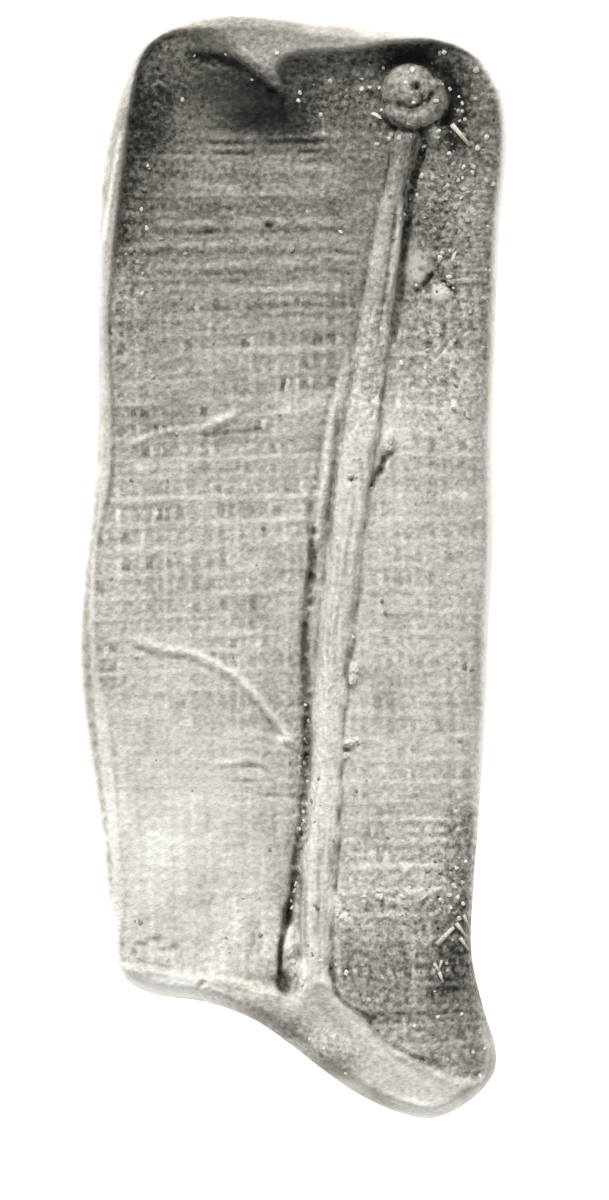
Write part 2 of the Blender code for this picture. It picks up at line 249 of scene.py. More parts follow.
# How far the print fades beside the rib and the knot, on the lip, and on lumps
PRINT_FADE = 0.7 * MM
LIP_FADE = 0.7
LUMP_COVER = 0.85

# Regions of the print: each fades in between two shares along or across
REGIONS = {
    "everywhere": (),
    "upper half": (("along", 0.42, 0.50),),
    "upper": (("along", 0.45, 0.60),),
    "top": (("along", 0.76, 0.84),),
    "lower left": (("along", -0.15, -0.35), ("across", 0.15, -0.05)),
    "right": (("across", 0.25, 0.40),),
    "upper right": (("across", 0.25, 0.40), ("along", 0.10, 0.40)),
    "middle right": (("across", 0.10, 0.25), ("along", 0.28, 0.16), ("along", -0.48, -0.28)),
    "lower right": (("across", 0.25, 0.40), ("along", -0.35, -0.55)),
}

# How clearly each part of the print shows: amounts that add up where regions overlap
PRINT_STRENGTHS = {
    "wefts": {
        "everywhere": 0.70, "upper": -0.10, "lower left": -0.45, "upper right": -0.20, "lower right": 0.30,
        "top": -0.40,
    },
    "warps": {"everywhere": 1.20, "upper": -0.60, "lower left": -0.55, "right": -0.20},
    "pits": {"everywhere": 1.10, "upper": -0.80, "lower left": -0.92, "right": -0.10},
    "slots": {"everywhere": 0.10, "upper": 0.45, "top": -0.36, "lower right": 0.55, "lower left": -0.05},
    "columns": {"lower left": 1.00},
    "single threads": {"everywhere": 0.55, "upper half": 0.45, "middle right": -0.30},
}

# Which share of the wefts and the pits is lost at the middle right
MIDDLE_RIGHT_LOSS = 0.25

# Dirt and painted shade in the print's pits and slots, dust and painted highlight on its bars and bands, and
# painted light and shade in its columns: how much each kind of mark changes the tone
PIT_TONE = -0.19
SLOT_TONE = -0.13
BAR_TONE = 0.19
BAND_TONE = 0.06
COLUMN_TONE = 0.18

# Where those marks lie, in pitches from the nearest thread: where each begins, and where it is full
BETWEEN_WARPS = (0.14, 0.30)
ON_WARP = (0.26, 0.10)
BETWEEN_WEFTS = (0.24, 0.40)
BETWEEN_STRONG_WEFTS = (0.40, 0.66)
ON_STRONG_WEFT = (0.46, 0.16)

# Which of them show: the chance from which each begins to show, and from which it shows in full
# A column is pale over its middle chance and dark under it.
PIT_CHANCES = (0.45, 0.85)
BAR_CHANCES = (0.60, 0.90)
SLOT_CHANCES = (0.20, 0.80)
COLUMN_MIDDLE = 0.6

# How far each warp goes in the grid of chances of bands and slots, and each weft in that of columns
BAND_STEP = 0.30
COLUMN_STEP = 0.20

# Patches where the marks are clear, and their wander: sizes in mm, clear levels, and the wander in pitches
CLEAR_SIZE = 3.2
CLEAR_LEVELS = (0.36, 0.62)
WANDER_SIZE = 0.8
WANDER = 0.8

# The sewing's strands under the rib, and the lines that edge the rib
STRAND_COUNT = 5
STRAND_HEIGHT = 0.10 * MM
STRAND_SPAN = (1.0, 0.8)
RIB_LINE_DEPTH = 0.20 * MM
RIB_LINE_WIDTH = 0.14 * MM

# Unevenness: for each thing its seed, the size of its lumps along x and y, its mean, and how far it swings
# A size without MM counts threads, or halves of the rib's width.
UNEVENNESS = {
    "wefts' drift": (11, 9 * MM, 6 * MM, 0, 0.35 * MM),
    "warps' drift": (12, 6 * MM, 12 * MM, 0, 0.35 * MM),
    "wefts": (21, 3 * MM, 1, 0.55, 0.60),
    "warps": (22, 3 * MM, 1, 0.55, 0.60),
    "clearness": (24, 3.5 * MM, 3.5 * MM, 0.70, 0.70),
    "slots": (26, 4 * MM, 1, 0.4, 0.9),
    "single threads": (31, 0.9 * MM, 2 * MM, 0.70, 0.45),
    "ridges": (32, 0.6 * MM, 0.6 * MM, 0.85, 0.25),
    "grooves": (33, 0.45 * MM, 0.45 * MM, 0.75, 0.55),
    "strands' wander": (41, 5 * MM, 1, 0, 0.35),
    "strands": (42, 3 * MM, 0.4, 0.4, 0.8),
    "rib's edge lines": (43, 1.2 * MM, 1, 0.5, 0.7),
    "rib's width": (44, 1.6 * MM, 1, 1, 0.10),
    "fine lumps": (51, 0.40 * MM, 0.40 * MM, 0, 0.025 * MM),
    "broad lumps": (53, 3.5 * MM, 3.5 * MM, 0, 0.07 * MM),
    "middling lumps": (54, 1.4 * MM, 1.4 * MM, 0, 0.035 * MM),
    "pebbles": (55, 0.55 * MM, 0.55 * MM, 0, 0.5),
    "small pebbles": (56, 0.33 * MM, 0.33 * MM, 0, 0.9),
}

# Cells of such a noise before it repeats, and the seeds of the threads' spacing
NOISE_CELLS = 256
WARP_SEED = 1
WEFT_SEED = 2

# Height of the pebbles where the face is gritty, and the share of it that is left where the mud was smoothed
PEBBLE_HEIGHT = 0.085 * MM
SMOOTH_PEBBLES = 0.6

# Drawn lines: how full their profile is, and which share of their length they taper over at each end
STROKE_FULLNESS = 1.5
STROKE_ENDS = 0.12
GROOVE_ENDS = 0.06

# Single threads that stand out of the print: reach, height, how much paler they are with dust and painted
# highlight on their crests, and points in mm
STRONG_THREAD_REACH = 0.40 * MM
STRONG_THREAD_HEIGHT = 0.04 * MM
STRONG_THREAD_TONE = 0.22
STRONG_THREADS = (
    ((-7.0, 32.5), (-1.5, 32.5), (4.0, 32.7)),
    ((-8.0, 31.8), (-2.0, 31.8), (4.4, 32.0)),
    ((-10.7, 31.0), (-3.1, 30.9), (2.9, 31.1)),
    ((-10.7, 30.0), (-2.4, 30.1), (4.4, 30.2)),
    ((-9.8, 29.0), (-3.0, 29.0), (4.6, 29.2)),
    ((-7.0, 28.4), (-1.0, 28.4), (5.0, 28.6)),
    ((-11.5, 26.1), (-1.6, 26.2), (5.4, 26.2)),
    ((-13.8, 24.4), (-4.7, 24.6), (6.0, 24.8)),
    ((-12.2, 22.8), (-3.1, 23.0), (5.8, 23.4)),
    ((-10.0, 21.1), (-3.0, 21.1), (5.4, 21.3)),
    ((-10.0, 20.3), (-6.0, 20.3), (0.5, 20.4)),
    ((-6.9, 18.4), (-1.0, 18.5), (4.4, 18.6)),
    ((-7.7, 16.3), (-2.0, 16.4), (3.5, 16.5)),
    ((-11.5, 13.9), (-4.7, 13.9), (3.1, 14.2)),
    ((-13.3, 7.4), (-5.4, 8.0), (2.2, 8.5)),
    ((-13.4, 5.0), (-6.9, 5.2), (1.8, 5.3)),
    ((-6.9, 3.0), (-3.7, 3.2), (0.6, 3.6), (1.9, 3.0)),
    ((-2.2, 2.0), (-0.4, 2.1), (1.4, 2.1)),
    ((7.3, 12.3), (10.5, 12.4), (13.7, 12.2)),
    ((6.3, 3.6), (10.0, 3.4), (14.3, 3.3)),
    ((5.3, -6.7), (9.9, -6.7), (14.3, -7.2)),
    ((10.8, -8.9), (12.5, -8.9), (14.3, -8.9)),
    ((-6.9, -13.5), (-3.5, -13.5), (-0.5, -13.7)),
    ((4.4, -31.3), (8.2, -31.0), (12.8, -30.4)),
    ((5.2, -33.3), (9.7, -33.1), (13.9, -32.2)),
    ((9.1, -27.9), (9.2, -30.5), (9.2, -33.6)),
    ((-8.0, 15.2), (-3.0, 15.3), (2.6, 15.4)),
    ((-5.5, 12.8), (-0.8, 12.7), (3.0, 12.9)),
    ((-9.0, 8.9), (-4.0, 8.8), (1.4, 9.2)),
    ((-8.2, 6.3), (-3.2, 6.2), (1.6, 6.4)),
    ((-6.0, -15.9), (-3.0, -15.8), (-0.3, -16.0)),
    ((-5.8, -12.5), (-2.5, -12.6), (0.0, -12.6)),
    ((8.5, 19.5), (8.4, 16.5), (8.4, 12.7)),
    ((11.0, 20.2), (10.9, 16.5), (10.8, 12.7)),
    ((13.1, 24.0), (13.0, 18.0), (12.9, 13.0)),
    ((8.4, 18.7), (11.0, 18.6), (13.6, 18.8)),
    ((8.0, 16.1), (11.0, 16.1), (14.0, 16.0)),
)

# Rows between the wefts darkened by dirt and painted shade: how much paler, and points in mm
SUNKEN_ROW_TONE = -0.17
SUNKEN_ROWS = (
    ((-7.5, 32.1), (-1.0, 32.15), (4.4, 32.3)),
    ((-7.0, 31.4), (-2.0, 31.35), (4.4, 31.5)),
    ((-10.3, 29.8), (-3.0, 29.7), (3.0, 29.7)),
    ((-11.3, 27.3), (-3.0, 27.4), (5.4, 27.5)),
    ((-9.0, 26.8), (-2.0, 26.8), (5.0, 26.9)),
    ((-12.0, 25.3), (-3.0, 25.5), (5.6, 25.6)),
    ((-12.0, 23.8), (-3.0, 23.8), (5.6, 23.9)),
    ((-9.0, 22.2), (-2.0, 22.3), (5.4, 22.5)),
    ((-8.0, 19.8), (-2.0, 19.8), (4.8, 20.0)),
    ((-3.0, 17.4), (1.0, 17.5), (4.2, 17.6)),
)

# Rows where the print is clearest: the middle, the two half widths in mm, and how much clearer
CLEAR_ROWS = (
    (-9.8, 11.5, 3.6, 0.7, 0.9), (0.4, 10.5, 2.8, 0.7, 0.9), (-11.0, 3.7, 2.4, 0.8, 0.8),
    (-0.5, 13.6, 2.2, 0.8, 0.8), (9.5, 6.0, 3.0, 1.5, 0.3),
)

# A line that is both a ridge and a painted highlight along its crest, as points in mm
BRIGHT_LIP_LINE = ((-12.9, 33.0), (-13.2, 31.2), (-13.8, 27.8), (-14.3, 24.4))

# Ridges of single threads and folds: points in mm, then how far the ridge reaches and its height
RIDGES = {
    "loose thread": (
        ((-12.9, -4.6), (-12.4, -5.4), (-11.3, -5.8), (-9.8, -6.3), (-7.9, -6.5), (-6.2, -7.2), (-4.4, -8.1),
         (-3.3, -9.1), (-2.2, -10.3), (-1.3, -11.5), (-0.3, -12.7), (0.8, -13.9)),
        0.48, 0.35,
    ),
    "wavy thread": (((-6.3, -14.9), (-4.6, -14.9), (-3.4, -14.6), (-2.6, -14.8), (-1.5, -14.9)), 0.30, 0.17),
    "slanting fibre": (
        ((-13.2, 8.9), (-11.8, 9.5), (-9.2, 10.3), (-7.1, 10.4), (-5.4, 11.1), (-4.0, 11.8), (-3.0, 11.8)),
        0.42, 0.22,
    ),
    "broad part of the fibre": (((-8.6, 10.3), (-7.1, 10.4), (-5.4, 11.1), (-3.8, 11.8)), 0.55, 0.28),
    "band at the fibre's right": (((-0.4, 11.9), (1.0, 12.1), (2.9, 12.3)), 0.80, 0.14),
    "second seam": (
        ((4.7, 16.8), (3.8, 13.9), (3.0, 11.1), (2.7, 8.1), (2.3, 5.1), (2.0, 2.4), (1.7, 0.2)),
        0.45, 0.35,
    ),
    "curled fibre": (((-10.7, 35.6), (-10.2, 36.6), (-9.4, 36.4), (-8.4, 35.4)), 0.25, 0.14),
    "fold under the tongue": (((-6.9, 38.0), (-5.9, 37.6), (-4.8, 37.7)), 0.34, 0.26),
    "stitch by the knot": (((4.4, 37.1), (5.2, 37.2), (6.2, 37.1)), 0.26, 0.20),
    "lower stitch by the knot": (((4.4, 36.1), (5.5, 36.2), (6.8, 36.2)), 0.26, 0.20),
    "bright line on the lip": (BRIGHT_LIP_LINE, 0.28, 0.22),
    "foot fold": (((-5.1, -31.3), (-2.8, -31.7), (-0.9, -32.4)), 0.35, 0.18),
    "toe rim": (((6.6, -39.9), (9.2, -40.8), (11.5, -41.0), (13.0, -40.2)), 0.50, 0.15),
    "rib's thin strand": (((8.4, 28.4), (8.2, 26.2), (8.0, 24.0), (7.7, 22.3), (7.3, 20.4)), 0.24, 0.24),
}

# Grooves, cracks and creases: points in mm, then how far the groove reaches and its depth
GROOVES = {
    "ditch left of the rib": (
        ((1.8, 4.0), (1.5, 0.2), (1.2, -2.5), (1.0, -6.3), (1.1, -10.1), (1.1, -14.6), (0.8, -18.4),
         (0.3, -22.2), (0.1, -24.7), (-0.4, -26.8), (-0.8, -28.6)),
        0.46, 0.55,
    ),
    "slit left of the rib's foot": (
        ((-0.4, -26.8), (-0.8, -28.6), (-0.9, -30.0), (-0.6, -31.7), (-0.2, -32.4)),
        0.30, 0.50,
    ),
    "groove inside the second seam": (
        ((4.8, 16.0), (4.2, 13.2), (3.7, 10.3), (3.3, 7.4), (3.0, 4.5), (2.7, 1.7)),
        0.34, 0.40,
    ),
    "groove outside the second seam": (
        ((3.0, 13.2), (2.2, 9.6), (1.9, 7.0), (1.5, 5.2), (1.2, 2.0)),
        0.28, 0.16,
    ),
    "right of the rib": (
        ((9.9, 31.2), (9.3, 29.6), (9.0, 27.6), (8.7, 25.0), (8.4, 22.5), (8.2, 20.6), (7.9, 18.6),
         (7.7, 16.7)),
        0.38, 0.36,
    ),
    "crease in the rib": (
        ((7.9, 27.6), (7.7, 25.4), (7.4, 23.6), (7.2, 22.0), (6.8, 19.2), (6.4, 17.4)),
        0.20, 0.24,
    ),
    "crack by the rib": (
        ((7.7, 8.9), (7.1, 8.3), (6.8, 7.6), (6.5, 7.0), (6.0, 6.2), (5.7, 6.0)),
        0.32, 0.50,
    ),
    "rib edge at the middle": (((5.2, 2.9), (5.0, 1.0), (4.8, -0.6), (4.5, -4.5)), 0.18, 0.16),
    "rib edge below the middle": (((4.5, -6.0), (4.2, -7.2), (4.0, -8.8)), 0.26, 0.35),
    "rib edge near the foot": (((3.4, -21.0), (3.1, -22.4), (3.2, -24.6)), 0.30, 0.28),
    "left strand line": (((2.1, -19.0), (2.0, -23.4), (1.8, -28.3)), 0.20, 0.16),
    "crease at the foot's left": (((-12.0, -29.9), (-10.2, -30.3), (-8.2, -30.8)), 0.24, 0.10),
    "crack in the foot": (((-7.6, -32.3), (-7.1, -31.9), (-6.6, -31.3)), 0.22, 0.25),
    "toe print's edge": (
        ((2.9, -30.0), (3.4, -32.2), (4.3, -33.3), (5.6, -34.1), (6.2, -35.0), (7.5, -36.2), (9.3, -37.2),
         (11.0, -37.9), (11.8, -38.8)),
        0.26, 0.30,
    ),
    "crease under the tongue": (
        ((-8.2, 38.8), (-5.9, 38.5), (-3.9, 38.1), (-2.2, 37.1), (-0.9, 35.8)),
        0.60, 0.35,
    ),
    "knot's comma": (
        ((9.4, 36.3), (9.6, 35.9), (9.8, 35.4), (9.6, 35.0), (9.1, 34.8), (8.7, 34.8)),
        0.22, 0.40,
    ),
    "crease right of the comma": (((9.6, 35.0), (10.3, 35.3), (10.7, 35.9), (11.1, 36.5)), 0.26, 0.40),
    "crease left of the comma": (((6.9, 35.1), (7.6, 35.1), (8.1, 35.0), (8.8, 34.8)), 0.26, 0.22),
    "under the knot's roll": (
        ((6.9, 34.1), (7.4, 33.5), (7.9, 33.2), (8.7, 33.0), (9.5, 33.0), (10.2, 33.2), (10.7, 33.5),
         (11.3, 33.8)),
        0.28, 0.27,
    ),
    "below the knot": (((9.5, 33.3), (10.1, 32.6), (9.9, 31.6), (9.7, 30.6)), 0.40, 0.40),
    "lip's outer groove": (
        ((-13.5, 33.9), (-14.5, 27.8), (-14.9, 20.2), (-14.8, 12.7), (-15.0, 5.1), (-15.6, -1.0),
         (-15.6, -7.0), (-15.2, -11.6), (-14.7, -16.3), (-14.0, -21.7), (-13.8, -26.5)),
        0.45, 0.20,
    ),
    "under the wavy thread": (((-4.2, -15.35), (-3.2, -15.15), (-2.0, -15.35)), 0.18, 0.12),
    "dark weft": (((-5.3, -16.3), (-3.6, -16.3), (-1.9, -16.3)), 0.22, 0.12),
    "lower dark weft": (((-2.2, -17.4), (-0.8, -17.4), (0.6, -17.5)), 0.22, 0.12),
    "crevice at the right": (((9.4, 20.8), (9.9, 21.2), (10.3, 21.7), (10.8, 22.3)), 0.28, 0.35),
    "crack at the right": (((11.4, 21.7), (11.8, 21.4), (12.3, 21.0), (12.5, 20.6)), 0.24, 0.40),
}

# Holes and dents: the middle, the two half widths and the depth, all in mm
DENTS = (
    (-1.7, 25.9, 0.32, 0.20, 0.45), (4.5, 6.6, 0.15, 0.15, 0.70), (9.4, 36.3, 0.26, 0.26, 0.70),
    (4.2, -13.9, 0.25, 0.20, 0.35), (6.3, -34.3, 0.30, 0.22, 0.30), (9.8, 22.5, 0.20, 0.16, 0.35),
    (9.4, 9.6, 0.25, 0.18, 0.25), (-5.9, -6.7, 0.22, 0.18, 0.25), (1.1, -14.6, 0.24, 0.24, 0.30),
    (-0.3, -26.6, 0.34, 0.70, 0.90), (-0.5, -31.6, 0.50, 0.60, 0.50),
    (-11.4, -28.7, 0.40, 0.22, 0.18), (-10.3, -28.3, 0.45, 0.25, 0.20), (-9.0, -28.9, 0.45, 0.25, 0.18),
    (-12.0, -29.4, 0.35, 0.20, 0.15), (13.5, -19.2, 0.40, 0.45, 0.20),
)

# Flat lumps pressed into the face: the middle, the two half widths and the height, all in mm
LUMPS = (
    (9.3, 22.6, 0.95, 1.35, 0.26), (11.3, 20.7, 0.75, 0.70, 0.36), (10.5, 23.6, 0.60, 0.60, 0.18),
    (8.4, -35.3, 0.55, 0.45, 0.25), (7.7, -36.0, 0.45, 0.40, 0.22), (8.2, -36.9, 0.55, 0.40, 0.20),
    (11.9, 11.1, 0.70, 0.60, 0.12), (12.8, 5.1, 1.10, 0.60, 0.14), (8.8, 9.6, 0.60, 0.60, 0.12),
    (11.3, -38.5, 0.45, 0.40, 0.20), (10.7, 32.8, 0.60, 0.80, 0.34), (11.9, 34.9, 0.70, 0.90, 0.20),
    (7.4, 9.5, 0.48, 0.75, 0.34), (6.4, 12.4, 0.34, 0.42, 0.22), (9.3, 29.0, 0.60, 0.40, 0.10),
    (4.7, -8.1, 0.38, 0.95, 0.34), (4.3, -13.4, 0.40, 0.34, 0.26), (4.1, -14.4, 0.28, 0.30, 0.20),
    (3.2, -25.6, 0.26, 0.90, 0.24), (-0.1, -28.7, 0.42, 1.10, 0.36), (0.8, -30.9, 0.36, 0.90, 0.30),
    (6.6, -24.8, 0.40, 0.36, 0.22), (-0.35, -13.3, 0.40, 0.26, 0.24),
)

# Crumbs stuck to the face: the middle and the two widths, all in mm
CRUMBS = (
    (7.5, 9.8, 0.50, 0.80), (7.3, 9.1, 0.50, 0.50), (6.4, 12.4, 0.40, 0.50), (5.3, 15.2, 0.26, 0.40),
    (8.3, 15.5, 0.30, 0.42), (6.0, 5.9, 0.42, 0.34), (4.6, -5.3, 0.28, 0.34), (4.75, -7.7, 0.60, 1.00),
    (4.6, -8.5, 0.55, 0.80), (4.4, -13.3, 0.70, 0.45), (4.1, -14.3, 0.50, 0.45), (4.9, -13.1, 0.45, 0.40),
    (3.2, -25.2, 0.40, 1.10), (3.4, -26.2, 0.50, 0.60), (3.0, -27.0, 0.30, 0.45), (3.8, -26.6, 0.42, 0.26),
    (-0.4, -13.2, 0.50, 0.34), (-0.1, -13.6, 0.30, 0.26), (1.0, -10.5, 0.26, 0.22), (0.9, -18.6, 0.26, 0.34),
    (0.9, -19.3, 0.24, 0.30), (-0.1, -27.8, 0.50, 0.90), (-0.2, -28.9, 0.75, 1.10), (0.0, -29.9, 0.50, 0.70),
    (0.8, -30.6, 0.60, 0.80), (0.8, -31.4, 0.45, 0.80), (0.0, -25.9, 0.22, 0.36), (2.2, -29.8, 0.40, 0.24),
    (1.5, -29.4, 0.28, 0.24), (-11.0, 25.7, 0.26, 0.38), (3.7, 25.4, 0.24, 0.36), (-1.1, 38.8, 0.30, 0.26),
    (3.4, -30.2, 0.30, 0.26), (4.1, -30.8, 0.30, 0.44), (5.4, -30.2, 0.30, 0.20), (6.9, -31.2, 0.24, 0.26),
    (6.6, -24.6, 0.42, 0.24), (5.5, -25.0, 0.34, 0.26), (3.9, -24.9, 0.24, 0.24), (0.3, -24.1, 0.22, 0.44),
    (6.4, 34.2, 0.80, 0.34), (14.7, -36.6, 0.30, 0.26), (14.3, -38.7, 0.46, 0.26), (12.5, -39.3, 0.34, 0.30),
    (-10.9, 30.4, 0.24, 0.22), (-7.4, 38.7, 0.22, 0.20), (-5.0, 38.8, 0.22, 0.20), (-3.0, 36.9, 0.22, 0.20),
    (0.1, -33.6, 0.30, 0.24), (1.4, -35.8, 0.28, 0.24), (4.1, -38.4, 0.30, 0.26), (-6.0, -32.6, 0.26, 0.22),
    (9.9, 29.7, 0.36, 0.60), (12.9, -34.0, 0.28, 0.24), (6.8, 34.6, 0.30, 0.30), (9.1, 37.5, 0.45, 0.50),
    (8.6, 36.6, 0.26, 0.32), (9.2, 35.1, 0.28, 0.24), (5.3, 36.2, 0.40, 0.26), (5.9, 36.3, 0.36, 0.26),
    (6.6, 36.3, 0.32, 0.24), (5.3, 37.0, 0.40, 0.26), (6.9, 37.8, 0.30, 0.24), (11.1, 33.0, 0.36, 0.30),
    (10.0, 31.9, 0.42, 0.26), (11.9, 31.3, 0.32, 0.28), (9.5, 28.2, 0.32, 0.32), (13.0, 30.3, 0.26, 0.42),
    (7.4, 32.5, 0.28, 0.36), (-8.3, 35.4, 0.32, 0.30), (0.6, 35.9, 0.26, 0.34), (0.5, 35.3, 0.30, 0.26),
    (12.7, 35.6, 0.28, 0.24), (12.9, 35.1, 0.26, 0.30), (12.9, 34.5, 0.24, 0.26), (13.1, 33.9, 0.30, 0.24),
    (11.9, 22.0, 0.40, 0.34), (12.3, 23.6, 0.26, 0.80), (6.6, -25.0, 0.60, 0.50), (4.0, -24.9, 0.26, 0.26),
    (11.6, -23.9, 0.40, 0.34), (12.3, -24.2, 0.34, 0.40), (12.9, -24.0, 0.30, 0.30),
    (11.9, -24.9, 0.44, 0.36), (12.6, -25.1, 0.36, 0.30), (12.0, -25.9, 0.40, 0.30),
    (13.0, -25.6, 0.30, 0.36), (11.3, -25.3, 0.30, 0.30), (8.3, -25.0, 0.50, 0.30), (8.9, -24.4, 0.36, 0.30),
    (7.7, -25.3, 0.36, 0.26), (13.2, -22.4, 0.34, 0.26), (12.5, -22.9, 0.26, 0.26), (11.1, -34.2, 0.30, 0.26),
    (13.8, -36.9, 0.30, 0.30), (12.3, 21.2, 0.30, 0.26),
)

# Chips: how flat they are, how far out of the mud, how much turned, how rough, how finely cut and how pale
CRUMB_FLATNESS = 0.45
CRUMB_RISE = 0.15
CRUMB_TURN = 0.7
CRUMB_ROUGHNESS = 0.35
CRUMB_CUTS = 2
CRUMB_PALENESS = (0.75, 1.0)

# Smaller grains: places tried, widths in mm, lengths in widths, and how far they stay inside the print
GRAIN_SEED = 7
GRAIN_TRIES = 7000
GRAIN_WIDTHS = (0.14, 0.44)
GRAIN_LENGTHS = (0.6, 1.4)
GRAIN_CUTS = 1
GRAIN_PALENESS = (0.0, 0.75)
GRAIN_CLEARANCE = 0.2 * MM

# Which share of those places has a grain, and by how much more in patches: the middle and half widths in mm
GRAIN_SHARE = 0.02
GRAIN_PATCHES = (
    (12.4, 27.5, 3.2, 9.0, 0.90), (12.0, -23.0, 2.2, 3.5, 0.80), (12.0, -25.5, 1.6, 2.0, 0.80),
    (-12.0, 22.0, 2.2, 6.0, 0.25), (8.0, -29.0, 5.0, 4.0, 0.18), (3.5, 36.3, 3.0, 2.0, 0.30),
    (13.0, -38.0, 2.5, 2.5, 0.30), (-4.0, 35.5, 6.0, 4.0, -0.04), (11.0, 12.0, 3.0, 6.0, 0.12),
    (1.0, -18.0, 0.9, 9.0, 0.70), (-9.5, -29.0, 3.5, 1.5, 0.20),
)

# Slivers of chaff: how many sides they have, how thin their far end is, and how far they stand out of the mud
SLIVER_SIDES = 6
SLIVER_TAPER = 2 / 3
SLIVER_RISE = 0.3

# Both ends and the width of each sliver, all in mm
SLIVERS = (
    ((12.1, 33.5), (13.5, 31.9), 0.44), ((11.0, -28.7), (12.3, -27.4), 0.46),
    ((12.5, -27.1), (13.3, -28.2), 0.34), ((13.1, -26.5), (13.6, -27.9), 0.30),
    ((12.8, -28.2), (13.4, -29.1), 0.32), ((10.8, -30.1), (11.3, -30.9), 0.32),
    ((11.4, -29.9), (11.2, -30.6), 0.24), ((11.2, -30.8), (11.5, -31.6), 0.32),
    ((9.7, -25.4), (10.3, -24.9), 0.26),
)

# How much paler the mud is from the foot to the top, at shares of half the length: mostly painted shade and
# light, darker at the top, where the face rises away from the light, and paler at the foot, which faces it,
# with some darker mud
TONE_PLACES = (-1.0, -0.6, -0.2, 0.2, 0.35, 0.5, 0.7, 1.0)
TONE_LEVELS = (0.26, 0.22, 0.14, 0.10, 0.00, -0.12, -0.26, -0.30)

# Patches of darker or paler mud, with painted shade among them under the lip's tongue, inside the lip at the
# upper left, above and right of the knot and on the toe, where the face lies under the lip or turns from the
# light: the middle, the two half widths, all in mm, and how much paler
PATCHES = (
    (-8.0, 36.5, 4.0, 2.5, -0.10), (-3.0, 35.0, 5.0, 2.6, -0.26), (2.5, 34.5, 4.5, 2.0, -0.18),
    (-5.6, 36.4, 2.6, 1.5, -0.12), (-2.6, 34.2, 3.0, 1.8, -0.16), (-11.2, 36.0, 2.0, 3.5, -0.12),
    (-11.8, 31.5, 1.8, 5.0, -0.22), (-12.5, 24.5, 1.4, 5.0, -0.10), (8.5, 38.5, 4.0, 1.6, -0.14),
    (9.0, 38.9, 2.4, 0.9, -0.36), (12.6, 35.5, 1.5, 3.0, -0.20), (-9.5, -22.0, 6.0, 9.0, 0.20),
    (-3.0, -13.0, 2.5, 4.0, -0.08), (13.8, -25.0, 2.0, 6.0, -0.52), (10.5, -31.0, 4.5, 4.5, -0.38),
    (5.0, -31.0, 3.5, 3.5, -0.32), (13.0, -36.0, 2.5, 4.0, -0.24), (-0.8, -24.5, 1.6, 6.0, -0.10),
    (9.5, 9.0, 5.0, 6.0, 0.12), (-11.0, -9.0, 4.0, 6.0, 0.06), (-1.5, -30.5, 1.5, 2.5, -0.12),
    (-5.4, 11.2, 1.5, 0.5, 0.16), (10.9, 32.6, 0.7, 0.8, 0.24), (12.5, 17.0, 2.5, 5.0, 0.08),
    (-8.5, 1.5, 5.5, 3.5, 0.10), (12.0, -31.5, 1.8, 2.5, -0.20), (7.5, -34.3, 1.8, 1.2, -0.20),
    (14.2, -37.4, 1.5, 1.5, -0.20), (0.5, 12.0, 2.0, 0.6, 0.12), (14.2, 14.5, 0.8, 3.0, -0.12),
    (-1.6, -13.0, 1.5, 6.0, -0.10), (-13.0, 26.3, 0.8, 2.5, -0.12), (-13.0, 20.2, 0.8, 2.5, 0.10),
    (-13.0, -16.0, 1.2, 3.0, 0.10), (14.0, 32.4, 0.9, 1.5, 0.14), (13.0, 27.0, 2.0, 3.0, 0.10),
    (12.2, 32.5, 1.2, 1.6, -0.20), (11.5, 35.5, 2.5, 2.0, -0.12), (0.8, 32.6, 1.2, 1.4, -0.16),
    (7.7, 14.0, 0.8, 8.0, 0.16), (5.4, -4.0, 0.8, 2.5, 0.14), (6.3, -25.3, 1.8, 1.2, -0.10),
    (-10.7, 38.0, 1.6, 1.2, 0.22), (-3.9, 38.4, 1.5, 1.0, 0.12), (12.0, 35.5, 1.6, 2.0, -0.12),
    (-5.3, 29.0, 3.2, 2.5, 0.10), (-2.8, 14.2, 3.2, 3.0, 0.08), (-2.8, 2.0, 3.5, 3.0, 0.08),
    (-7.5, -10.0, 4.0, 4.0, 0.07), (-4.5, -28.3, 3.5, 2.0, 0.14), (9.3, 22.8, 0.95, 1.3, 0.20),
    (11.3, 20.7, 0.75, 0.65, 0.34), (7.8, 20.4, 0.8, 1.5, 0.12), (-0.7, -13.1, 0.6, 0.36, 0.50),
    (14.3, 35.4, 1.0, 1.5, 0.14), (-10.9, 32.4, 1.3, 1.5, -0.16), (-1.6, 32.2, 1.2, 1.2, -0.12),
    (12.2, 32.2, 0.9, 1.2, -0.22), (7.5, -4.0, 1.5, 2.0, 0.12), (-1.6, -28.0, 0.8, 1.2, 0.15),
    (-0.1, -28.7, 0.4, 1.2, 0.16), (3.3, -25.4, 0.4, 1.2, 0.30), (4.0, -26.6, 0.6, 0.3, 0.30),
    (-0.6, 32.5, 1.6, 0.7, -0.12), (-1.6, -10.2, 1.2, 1.6, -0.08), (0.8, -30.9, 0.5, 0.9, 0.30),
    (-9.6, 8.1, 1.3, 0.8, -0.12), (-6.2, 14.2, 1.4, 1.0, -0.14), (-1.6, 20.2, 1.2, 1.0, -0.10),
    (-3.9, -16.1, 1.2, 0.9, -0.12), (-1.6, 35.4, 0.9, 0.9, 0.12), (8.8, 5.0, 1.6, 5.0, 0.06),
    (-1.8, -31.2, 1.6, 0.6, -0.14), (-8.4, 32.4, 1.0, 1.0, -0.09), (1.6, 32.0, 1.0, 1.0, -0.08),
    (11.9, 32.3, 0.7, 0.8, -0.08), (9.6, 20.2, 0.8, 0.8, 0.08), (-3.9, -31.3, 1.5, 0.9, -0.10),
    (9.7, -31.3, 0.9, 1.2, 0.14), (12.2, -29.3, 1.2, 2.2, -0.16), (9.7, -29.0, 1.6, 2.0, 0.08),
    (11.8, -25.5, 1.5, 1.5, -0.10),
)
